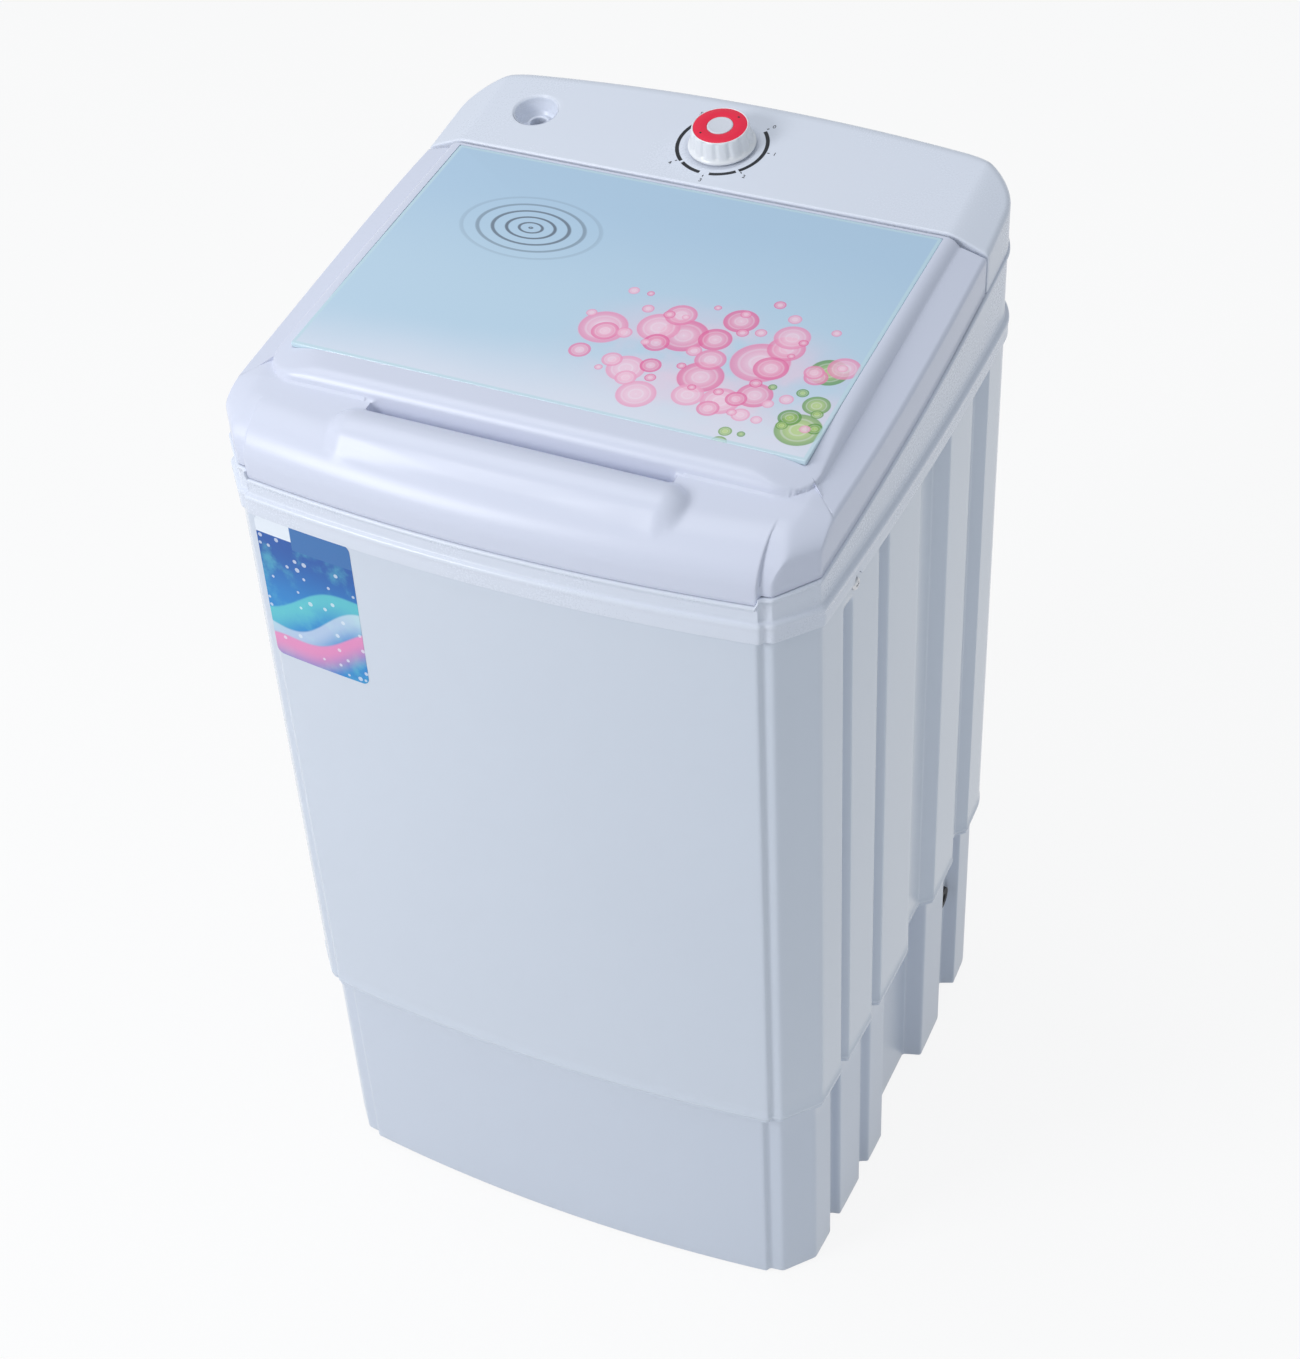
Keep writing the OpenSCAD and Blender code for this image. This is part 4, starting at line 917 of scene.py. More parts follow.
    def frame(self) -> Piece:
        """The moulded frame, one closed shell of rows from the outer wall to the glass ledge."""
        loop, back = self.outline()
        x, y = loop[:, 0], loop[:, 1]
        inner = np.column_stack([np.clip(x, -self.glass_half, self.glass_half),
                                 np.clip(y, self.glass_front, self.glass_back)])
        way = inner - loop
        span = np.linalg.norm(way, axis=1)
        front = ease((self.glass_half + 14.0 - np.abs(x)) / 14.0) * (y < -150)
        corner = ((y < -140) & (front < 1.0)).astype(float)
        roll = np.where(back, 1.5, 2.6)
        roll = np.where(corner > 0, 18.0 * (1 - front) + self.roll_run * front, roll)
        roll = np.where(front >= 1.0, self.roll_run, roll)
        roll = np.minimum(roll, 0.6 * span)
        turn = np.linspace(0.0, 0.5 * math.pi, self.edge_rows)
        rows = [roll / span * (1.0 - math.cos(a)) for a in turn]
        low, high = self.slot
        fixed = np.concatenate([[low - 0.8, low - 0.35, low, low + 0.35],
                                np.linspace(low + 1.6, high - 1.6, 6),
                                [high - 0.35, high, high + 0.35, high + 0.8],
                                np.linspace(high + 1.8, self.pad_front + 3.0, 8),
                                np.linspace(self.pad_front + 5.0, self.glass_front, 6)])
        start = rows[-1]
        lead = np.linspace(0.0, 1.0, 12)[1:]
        even = np.linspace(0.0, 1.0, len(lead) + len(fixed) + 1)[1:]
        y_from = -y - start * span
        y_at = np.concatenate([[-(y_from + (-(low - 1.6) - y_from) * t) for t in lead],
                               np.repeat(fixed[:, None], len(x), axis=1)])
        straight = (y_at - y) / (self.glass_front - y + 1e-9)
        plain = start + (1.0 - start) * even[:, None]
        rows = np.concatenate([np.stack(rows), straight * front + plain * (1.0 - front)])
        rows = np.maximum.accumulate(rows, axis=0)
        place = loop + way * rows[..., None]
        top = self.top(place[..., 0], place[..., 1])
        upper = np.concatenate([place, top[..., None]], axis=2)

        bottom = LEVELS.rim_at(loop, OUTLINE.panel_half + self.out)
        bottom = bottom + self.gap - self.front_sag * ease((60.0 - y) / 60.0)
        notch = back & (np.abs(np.abs(x) - self.notch_x) < self.notch_half)
        bottom = np.where(notch, self.notch_top, bottom)
        normal = loop_normals(loop)
        wall = np.minimum(self.wall, 0.8 * span)[:, None]
        edge = top[0]
        outer = [raise_loop(loop - 0.35 * normal, bottom), raise_loop(loop, bottom + 0.5)]
        outer += [raise_loop(loop, bottom + 0.5 + (edge - bottom - 0.5) * t) for t in (0.35, 0.7)]

        plane = LEVELS.glass + LEVELS.glass_rise * inner[:, 1]
        window = np.column_stack([
            np.clip(inner[:, 0], -self.glass_half + self.ledge, self.glass_half - self.ledge),
            np.clip(inner[:, 1], self.glass_front + self.ledge, self.glass_back - 1.4)])
        low_plane = plane - self.glass_deep
        seat = [raise_loop(inner, low_plane), raise_loop(window, low_plane),
                raise_loop(window, low_plane - 2.0)]
        under_y = np.array([-124.0, -133.0, high + 2.6, 0.5 * (low + high), low - 2.6,
                            -158.0, -172.0])
        plain_under = np.linspace(0.93, 0.2, len(under_y))
        share = (under_y[:, None] - y) / (self.glass_front - y + 1e-9)
        share = share * front + plain_under[:, None] * (1.0 - front)
        share = np.clip(share, (wall[:, 0] / span)[None, :], 1.0)
        spot = loop + way * share[..., None]
        depth = self.top(spot[..., 0], spot[..., 1]) - self.wall
        depth = np.minimum(depth, np.where(share > 0.9, low_plane - 2.0, 1e4))
        mask = self.slot_mask(spot[..., 0], spot[..., 1], 3.0, 0.7)
        depth = depth + (np.minimum(self.slot_floor - self.wall, depth) - depth) * mask
        under = np.concatenate([spot, depth[..., None]], axis=2)
        inside_wall = loop + way / span[:, None] * wall
        inner_top = np.minimum(self.top(*inside_wall.T) - self.wall, edge - 1.0)
        inner_wall = [raise_loop(inside_wall, np.maximum(inner_top, bottom + 0.6)),
                      raise_loop(inside_wall, bottom)]
        grid = np.concatenate([np.stack(outer), upper, np.stack(seat), under, np.stack(inner_wall),
                               np.stack(outer[:1])])
        return Surface().grid(grid).build("lid_shell", 50.0)

    def ribs(self) -> list[Piece]:
        """The pairs of ribs beside the hinge posts that hold the pins."""
        made = []
        hinge_y, hinge_z = Deck.hinge
        for side in (-1, 1):
            for part in (-1, 1):
                x = side * self.notch_x + part * 4.55
                made.append(block(f"hinge_rib_{'left' if side < 0 else 'right'}_{part + 2}",
                                  (x - 1.25, hinge_y - 4.2, hinge_z - 4.2),
                                  (x + 1.25, LEVELS.lid_back - 1.0, hinge_z + 5.8), 0.9))
        return made


# ---- Control panel ----
@dataclass
class ControlPanel:
    """The sloped panel behind the lid, with a rinse cup and the knob's place."""

    out: float = 5.9
    slope: float = math.radians(10.0)
    lip: float = 2.4
    recess: float = 4.2
    cup_x: float = -130.0
    cup_r: float = 14.6
    back_along: float = 40.0
    grid_x: float = 162.0
    grid_y: tuple[float, float] = (108.0, 170.0)
    shoulder_x: float = 162.0
    shoulder_slope: float = 0.44
    dish_r: float = 23.6
    dish_deep: float = 0.7
    dish_lip: float = 0.25
    step: float = 1.5
    wall: float = 2.5

    @property
    def knob_y(self) -> float:
        """How far back the knob and cup stand, on the slope."""
        return LEVELS.panel_front + self.back_along * math.cos(self.slope)

    @property
    def knob_z(self) -> float:
        """Height of the panel's surface there."""
        return LEVELS.panel_top + self.back_along * math.sin(self.slope)

    def top(self, x: Array, y: Array) -> Array:
        """Height of the panel's surface.

        A plane that rises to the back, its shoulders falling away along hyperbolas, with a
        rounded edge all round: quarter circles that grow from 3 at the sides, through the round
        corners, to 15 at the back. A shallow dish surrounds the knob.

        Args:
            x: places across.
            y: places along.

        Returns:
            The height at each place.
        """
        z = LEVELS.panel_top + LEVELS.panel_rise * (y - LEVELS.panel_front)
        z = z - soft_ramp(np.abs(x) - self.shoulder_x, self.shoulder_slope, 5.0)
        reach = OUTLINE.back_round + self.out
        across = reach - OUTLINE.side_x(y, self.out) + np.abs(x)
        along = reach - OUTLINE.front_y(x, self.out) + y
        rim = reach - np.where((across > 0) & (along > 0), np.hypot(across, along),
                               np.maximum(across, along))
        share = ease(np.arctan2(along, across) / (0.5 * math.pi)) * (along > 0)
        total = np.zeros_like(z)
        for distance, radius in ((rim, 3.0 + 12.0 * share), (y - LEVELS.panel_front, 1.3)):
            total = total + (radius * fallen(distance / radius)) ** 3
        z = z - np.cbrt(total)
        r = np.hypot(x, y - self.knob_y)
        lip = self.dish_lip * ease(1.0 - np.abs(r - self.dish_r - 1.0))
        return z - self.dish_deep * ease((self.dish_r - r) / 1.2) + lip

    def outline(self) -> Array:
        """The panel's plan, from the front edge's left end, anticlockwise."""
        loop = OUTLINE.cut_loop(self.out, LEVELS.panel_front, True)
        loop[loop[:, 1] < LEVELS.panel_front + 0.02, 1] = LEVELS.panel_front
        return loop

    def rings(self) -> tuple[Array, Array]:
        """The inner rectangle's boundary and the matching points of the outline."""
        xs, ys = self.axes()
        nx, ny = len(xs) - 1, len(ys) - 1
        loop = self.outline()
        start = int(np.argmin(loop[:, 0] + 10.0 * loop[:, 1]))
        loop = np.roll(loop, -start, axis=0)
        ring = np.concatenate([loop, loop[:1]])
        length = np.concatenate([[0.0], np.cumsum(np.linalg.norm(np.diff(ring, axis=0), axis=1))])
        y_side = OUTLINE.chamfer_meets(self.out)[-1]

        def at(mask: NDArray[np.bool_], last: bool) -> float:
            return float(length[:-1][mask].max() if last else length[:-1][mask].min())

        front_end = at(loop[:, 1] <= LEVELS.panel_front + 0.01, True)
        right_end = at((loop[:, 0] > 0) & (loop[:, 1] > y_side + 12), False)
        back_end = at((loop[:, 0] < 0) & (loop[:, 1] > y_side + 12), True)
        stops = [0.0, front_end, right_end, back_end, float(length[-1])]
        counts = [nx, ny, nx, ny]
        at_length = np.concatenate([np.linspace(a, b, n, endpoint=False)
                                    for a, b, n in zip(stops[:-1], stops[1:], counts)])
        outer = np.column_stack([np.interp(at_length, length, ring[:, 0]),
                                 np.interp(at_length, length, ring[:, 1])])
        return self.border(xs, ys), outer

    @staticmethod
    def border(xs: Array, ys: Array) -> Array:
        """The points round a grid of stations, anticlockwise from its first corner."""
        return np.concatenate([
            np.column_stack([xs[:-1], np.full(len(xs) - 1, ys[0])]),
            np.column_stack([np.full(len(ys) - 1, xs[-1]), ys[:-1]]),
            np.column_stack([xs[:0:-1], np.full(len(xs) - 1, ys[-1])]),
            np.column_stack([np.full(len(ys) - 1, xs[0]), ys[:0:-1]])])

    def shell(self) -> Piece:
        """The panel: walls, a rolled border, a fine field with a round hole, and an inside."""
        inner, outer = self.rings()
        front = np.arange(len(inner)) < len(self.axes()[0]) - 1
        held = front & (np.abs(outer[:, 0]) < 169.0)
        way = inner - outer
        span = np.linalg.norm(way, axis=1)
        roll = np.where(front, 1.3, np.where(outer[:, 1] > 160, 15.0, 5.0))
        roll = smooth_loop(np.column_stack([roll, roll]), 6)[:, 0]
        roll = np.minimum(roll, 0.7 * span)
        turn = np.linspace(0.0, 0.5 * math.pi, 10)
        shares = [roll / span * (1.0 - math.cos(a)) for a in turn]
        shares += [shares[-1] + (1.0 - shares[-1]) * t for t in np.linspace(0.0, 1.0, 14)[1:]]
        place = outer + way * np.stack(shares)[..., None]
        top = self.top(place[..., 0], place[..., 1])
        upper = np.concatenate([place, top[..., None]], axis=2)
        edge = top[0]
        bottom = LEVELS.rim_at(outer) + 0.25
        lip_z = edge - self.lip
        back = np.column_stack([outer[:, 0], outer[:, 1] + np.where(held, self.recess, 0.0)])
        low = np.where(held, 600.0, bottom)
        walls = [raise_loop(back, low), raise_loop(back, low + 6.0), raise_loop(back, lip_z - 0.2),
                 raise_loop(outer, lip_z), raise_loop(outer, lip_z + 0.3)]
        inset = self.wall * 1.2
        inside = back + way / span[:, None] * inset
        under = [raise_loop(inner, self.top(inner[:, 0], inner[:, 1]) - self.wall),
                 raise_loop(inside, np.minimum(edge - self.wall - 3.0, top[2] - self.wall)),
                 raise_loop(inside, low)]
        surface = Surface()
        surface.grid(np.concatenate([walls, upper]))
        self.field(surface)
        surface.grid(np.stack(under + walls[:1]))
        return surface.build("panel_shell", 50.0)

    def axes(self) -> tuple[Array, Array]:
        """The stations of the fine field."""
        nx = int(round(2 * self.grid_x / self.step))
        ny = int(round((self.grid_y[1] - self.grid_y[0]) / self.step))
        return (np.linspace(-self.grid_x, self.grid_x, nx + 1),
                np.linspace(self.grid_y[0], self.grid_y[1], ny + 1))

    def hole_block(self) -> tuple[int, int, int, int]:
        """The block of stations round the cup, as first and last columns and rows."""
        xs, ys = self.axes()
        reach = self.cup_r + 5.0
        a, b = np.searchsorted(xs, (self.cup_x - reach, self.cup_x + reach))
        c, d = np.searchsorted(ys, (self.knob_y - reach, self.knob_y + reach))
        return int(a), int(b), int(c), int(d)

    def field(self, surface: Surface) -> None:
        """Both faces of the regular field, its block round the cup filled by rings of one hole."""
        xs, ys = self.axes()
        gx, gy = np.meshgrid(xs, ys)
        z = self.top(gx, gy)
        a, b, c, d = self.hole_block()
        keep = np.ones((len(ys) - 1, len(xs) - 1), bool)
        keep[c:d, a:b] = False
        surface.grid(np.stack([gx, gy, z], axis=2), closed=False, keep=keep)
        surface.grid(np.stack([gx, gy, z - self.wall], axis=2), closed=False, flip=True, keep=keep)
        square = self.border(xs[a:b + 1], ys[c:d + 1])
        middle = np.array([self.cup_x, self.knob_y])
        ray = square - middle
        ray = ray / np.linalg.norm(ray, axis=1, keepdims=True)
        shrink = [(square + (middle + ray * (self.cup_r + 1.0) - square) * t, 0.0)
                  for t in (0.0, 0.4, 0.75, 1.0)]
        hole = [(middle + ray * (self.cup_r + out), down)
                for out, down in ((0.55, 0.12), (0.2, 0.45), (0.0, 1.0), (0.0, self.wall))]
        below = [(middle + ray * (self.cup_r + 1.0), self.wall), (square, self.wall)]
        surface.grid(np.stack([raise_loop(ring, self.top(ring[:, 0], ring[:, 1]) - down)
                               for ring, down in shrink + hole + below]))

    def cup(self) -> Piece:
        """The rinse cup: a turned bowl with a raised nozzle seat in the middle, and its spout."""
        r = self.cup_r
        outline = [(r + 0.1, -0.3), (r - 0.3, -0.5), (r - 0.7, -1.0), (r - 1.2, -4.0),
                   (r - 2.9, -9.6), (r - 4.3, -11.6), (9.0, -12.6), (8.0, -12.4), (7.5, -11.6),
                   (7.4, -10.4), (7.0, -10.0), (6.0, -10.0), (5.5, -10.3), (5.4, -11.0),
                   (5.4, -41.5), (7.5, -41.5), (7.5, -16.0), (r - 1.6, -11.0), (r + 0.1, -3.0)]
        profile = round_profile(outline + outline[:1], 0.5, 3)
        grid = lathe(profile, 72)
        return self.placed(Surface().grid(grid), self.cup_x).build("rinse_cup", 50.0)

    def placed(self, surface: Surface, x: float, sink: float = 0.0) -> Surface:
        """Turns a shape built about the Z axis to stand square on the panel.

        Args:
            surface: the shape, in millimetres.
            x: where it stands across.
            sink: how far it is lowered along the panel's own normal.

        Returns:
            The surface itself.
        """
        c, s = math.cos(self.slope), math.sin(self.slope)
        turn = np.array([[1.0, 0.0, 0.0], [0.0, c, s], [0.0, -s, c]])
        move = np.array([x, self.knob_y, self.knob_z])
        surface.points = [(p - (0.0, 0.0, sink)) @ turn + move for p in surface.points]
        return surface


# ---- Knob, glass, label and screws ----
@dataclass
class Knob:
    """The timer knob: a fluted skirt, a red top ring and a pale centre."""

    panel: ControlPanel
    radius: float = 21.5
    height: float = 14.5
    gap: float = 0.6
    flutes: int = 14
    ring_out: float = 17.2
    centre: float = 8.3
    scale_r: tuple[float, float] = (27.2, 29.6)
    scale_z: tuple[float, float] = (0.03, 0.08)
    tick_r: tuple[float, float] = (30.23, 31.77)
    tick_half: float = 0.35
    numeral_r: float = 35.2
    dot_r: float = 13.3
    spans: tuple[tuple[int, int], ...] = ((-222, -132), (-128, -97), (-84, -50), (-46, 42))
    marks: tuple[float, ...] = (45.0, 0.0, -45.0, -90.0, -135.0, -225.0)

    def turned(self, grid: Array, name: str, sharp: float = 38.0) -> Piece:
        """A piece made from its grid about the knob's axis, set on the panel over a gap."""
        return self.panel.placed(Surface().grid(grid), 0.0, -self.gap).build(name, sharp)

    def body(self) -> Piece:
        """The moulded knob, lathed, its side scalloped by a cosine round the axis."""
        r, h = self.radius, self.height
        profile = round_profile([
            (r - 2.6, 0.2), (r - 0.4, 0.0), (r, 0.5), (r, 1.6), (r - 0.9, 2.3), (r - 1.5, 4.2),
            (r - 3.3, h - 1.2), (r - 4.1, h), (r - 4.5, h - 0.2), (r - 4.6, h - 0.9),
            (0.0, h - 0.9), (0.0, 9.0), (r - 5.2, 9.0), (r - 4.4, 6.0), (r - 2.6, 0.2)], 0.6, 3)
        fine = [profile[0]]
        for a, b in zip(profile[:-1], profile[1:]):
            steps = max(1, int(np.linalg.norm(b - a) / 1.1))
            fine += [a + (b - a) * (i + 1) / steps for i in range(steps)]
        steps = self.flutes * 18
        grid = lathe(fine, steps)
        turn = np.arange(steps) * (2 * math.pi / steps)
        radius = np.hypot(grid[..., 0], grid[..., 1])
        z = grid[..., 2]
        outer = (radius > r - 4.6) & (np.arange(len(fine)) < len(fine) * 0.55)[:, None]
        wave = np.cos(self.flutes * turn) * 0.5 + 0.5
        depth = 0.8 * wave ** 3 * ease((z - 2.4) / 1.6) * (1.0 - ease((z - h + 1.6) / 1.4))
        scale = np.where(outer, (radius - depth) / np.maximum(radius, 1e-6), 1.0)
        grid[..., :2] *= scale[..., None]
        return self.turned(grid, "knob_body", 44.0)

    def ring(self) -> Piece:
        """The red ring on top, a shallow domed washer."""
        h, low, high = self.height, self.centre, self.ring_out
        profile = round_profile([(low, h - 1.4), (high, h - 1.4), (high, h - 0.35),
                                 (0.5 * (high + low), h + 0.1), (low, h - 0.1),
                                 (low, h - 1.4)], 0.5, 3)
        return self.turned(lathe(profile), "red_ring")

    def middle(self) -> Piece:
        """The pale centre, a slightly dished button."""
        h, r = self.height, self.centre - 0.1
        profile = round_profile([(0.001, h - 1.4), (r, h - 1.4), (r, h + 0.05), (r - 0.9, h + 0.3),
                                 (r - 2.0, h + 0.1), (0.001, h - 0.1)], 0.3, 3)
        return self.turned(lathe(profile, 72), "knob_button")

    def dots(self) -> Piece:
        """Two small index dots printed on the red ring."""
        surface = Surface()
        for angle in (math.radians(52), math.radians(228)):
            disc = lathe([(0.0, self.height + 0.14), (0.6, self.height + 0.14),
                          (0.75, self.height + 0.02), (0.0, self.height + 0.02)], 20)
            place = (self.dot_r * math.cos(angle), self.dot_r * math.sin(angle), 0.0)
            surface.grid(disc[::-1] + place)
        return self.panel.placed(surface, 0.0, -self.gap).build("index_dots")

    def dial(self) -> list[Piece]:
        """The printed minute scale: a broken ring, ticks and plain numerals."""
        surface = Surface()
        (near, far), (low, high) = self.scale_r, self.scale_z
        for start, end in self.spans:
            turn = np.radians(np.linspace(start, end, max(4, int((end - start) / 3)) + 1))
            arc = np.column_stack([np.cos(turn), np.sin(turn)])
            rows = [raise_loop(r * arc, z) for r, z in
                    ((near, low), (near, high), (far, high), (far, low), (near, low))]
            band = np.stack(rows)
            ends = [np.broadcast_to(band[:-1, i].mean(axis=0), (len(rows), 1, 3)) for i in (0, -1)]
            surface.grid(np.concatenate([ends[0], band, ends[1]], axis=1), closed=False, flip=True)
        (start, end), half = self.tick_r, self.tick_half
        tick = np.array([[start, -half], [end, -half], [end, half], [start, half]])
        angles = [math.radians(mark) for mark in self.marks]
        for angle in angles[::-1]:
            c, s = math.cos(angle), math.sin(angle)
            ring = tick @ np.array([[c, s], [-s, c]])
            middle = ring * 0.0 + ring.mean(axis=0)
            surface.grid(np.stack([raise_loop(middle, low), raise_loop(ring, low),
                                   raise_loop(ring, high), raise_loop(middle, high)]))
        made = [self.panel.placed(surface, 0.0).build("dial_scale")]
        for number, angle in enumerate(angles):
            made.append(self.numeral(str(number), self.numeral_r * math.cos(angle),
                                     self.numeral_r * math.sin(angle)))
        return made

    def numeral(self, text: str, across: float, along: float) -> Piece:
        """One printed numeral as a thin mesh on the panel.

        Args:
            text: the figure.
            across: its place across, from the knob.
            along: its place up the slope, from the knob.

        Returns:
            The new object.
        """
        curve = bpy.data.curves.new(f"numeral_{text}", "FONT")
        curve.body = text
        curve.size = 4.2 * MM
        curve.extrude = 0.03 * MM
        curve.align_x, curve.align_y = "CENTER", "CENTER"
        temp = linked("temp", curve)
        graph = bpy.context.evaluated_depsgraph_get()
        mesh = bpy.data.meshes.new_from_object(temp.evaluated_get(graph))
        mesh.name = f"numeral_{text}"
        bpy.data.objects.remove(temp)
        bpy.data.curves.remove(curve)
        place = (Matrix.Translation(Vector((0.0, self.panel.knob_y, self.panel.knob_z)) * MM)
                 @ Matrix.Rotation(self.panel.slope, 4, "X")
                 @ Matrix.Translation(Vector((across, along, 0.06)) * MM))
        mesh.transform(place)
        return linked(f"numeral_{text}", mesh)


@dataclass
class Glass:
    """The printed glass plate in the lid, with ground edges."""

    lid: Lid
    thick: float = 3.0
    corner: float = 1.2

    def plate(self) -> Piece:
        """The plate: rows round a rectangle from the underside to the top, edges ground round."""
        half = self.lid.glass_half - 0.15
        low, high = self.lid.glass_front + 0.15, self.lid.glass_back - 0.15
        turn = np.linspace(0.0, 0.5 * math.pi, 4)
        arcs = []
        corners = ((half, low, -0.5), (half, high, 0.0), (-half, high, 0.5), (-half, low, 1.0))
        for cx, cy, start in corners:
            mx = cx - math.copysign(self.corner, cx)
            my = cy - math.copysign(self.corner, cy)
            a = start * math.pi + turn
            arcs.append((mx, my) + self.corner * np.column_stack([np.cos(a), np.sin(a)]))
        loop = np.concatenate(arcs)
        centre = np.array([0.0, 0.5 * (low + high)])
        c = math.cos(math.atan(LEVELS.glass_rise))

        def row(inset: float, down: float) -> Array:
            ring = centre + (loop - centre) * (1.0 - inset / np.array([half, 0.5 * (high - low)]))
            return raise_loop(ring, LEVELS.glass + LEVELS.glass_rise * ring[:, 1] - down / c)

        rows = [row(0.6, self.thick), row(0.15, self.thick - 0.15), row(0.0, self.thick - 0.6),
                row(0.0, 0.6), row(0.12, 0.2), row(0.45, 0.03), row(0.9, 0.0)]
        surface = Surface().grid(np.stack(rows))
        for ring, flip in ((rows[0], True), (rows[-1], False)):
            mid = np.array([0.0, centre[1], ring[:, 2].mean()])
            fan = [ring, mid + (ring - mid) * 0.5, np.zeros_like(ring) + mid]
            surface.grid(np.stack(fan), flip=flip)
        return surface.build("glass_plate", 60.0)


@dataclass
class Label:
    """The printed film label on the cabinet's front, near its left edge."""

    left: float = -159.6
    right: float = -91.5
    low: float = 468.0
    high: float = 573.5
    corner: float = 5.0
    thick: float = 0.14

    def sheet(self) -> Piece:
        """A thin sheet that follows the bowed front, its corners rounded by narrowing rows."""
        near = self.corner * (1.0 - np.cos(np.linspace(0.0, 0.5 * math.pi, 7)))
        z = np.concatenate([self.low + near, np.linspace(self.low + 2 * self.corner,
                            self.high - 2 * self.corner, 12), self.high - near[::-1]])
        dz = np.minimum(z - self.low, self.high - z)
        cut = np.clip(self.corner - dz, 0.0, self.corner)
        inset = self.corner - np.sqrt(self.corner ** 2 - cut ** 2)
        u = np.linspace(0.0, 1.0, 33)
        x = (self.left + inset)[:, None] + ((self.right - self.left) - 2 * inset)[:, None] * u
        y = -OUTLINE.front_y(x, Body.cabinet_out + self.thick + 0.02)
        grid = np.stack([x, y, np.repeat(z[:, None], len(u), axis=1)], axis=2)
        return Surface().grid(grid, closed=False).thick(self.thick).build("front_label", 50.0)


@dataclass(frozen=True)
class Screw:
    """A cross-recessed pan-head screw's head, with its bearing face towards the wall."""

    radius: float = 4.0
    height: float = 2.4
    cross: float = 2.3
    slot: float = 0.45

    def add(self, surface: Surface, place: Vector, normal: Vector) -> None:
        """Adds one head.

        A flattened dome over a polar grid, less a cross whose arms are two crossed bars.

        Args:
            surface: where it goes.
            place: middle of the bearing face, in millimetres.
            normal: unit direction out of the wall.
        """
        turn = np.arange(56) * (2 * math.pi / 56)
        share = np.concatenate([np.linspace(1.0, 0.66, 6), np.linspace(0.62, 0.04, 22)])[:, None]
        r = self.radius * share
        u, v = r * np.cos(turn), r * np.sin(turn)
        bow = np.sqrt(np.clip(1.0 - share ** 4 * 0.92, 0.0, 1.0))
        dome = self.height * bow * np.ones_like(turn)
        arms = np.minimum(np.maximum(np.abs(u) - self.slot, np.abs(v) - self.cross),
                          np.maximum(np.abs(v) - self.slot, np.abs(u) - self.cross))
        dome = dome - 1.3 * ease(-arms / 0.25 + 0.5) * ease((self.cross - r) / 1.2 + 0.3)
        top = np.stack([u, v, dome], axis=2)
        foot = np.stack([u[0], v[0], np.zeros_like(turn)], axis=1)
        middle = np.zeros_like(foot) + top[-1].mean(axis=0)
        low = np.zeros_like(foot)
        grid = np.concatenate([[low], [foot], top, [middle]])
        turn_to = np.array(normal.to_track_quat("Z", "Y").to_matrix())
        surface.grid(grid @ turn_to.T + np.array(place))


# ---- Finishes ----
def tone(red: int, green: int, blue: int) -> Colour:
    """A display colour of 0 to 255 a channel as the linear colour that shaders take."""
    c = np.array([red, green, blue]) / 255.0
    lin = np.where(c <= 0.04045, c / 12.92, ((c + 0.055) / 1.055) ** 2.4)
    return (float(lin[0]), float(lin[1]), float(lin[2]))


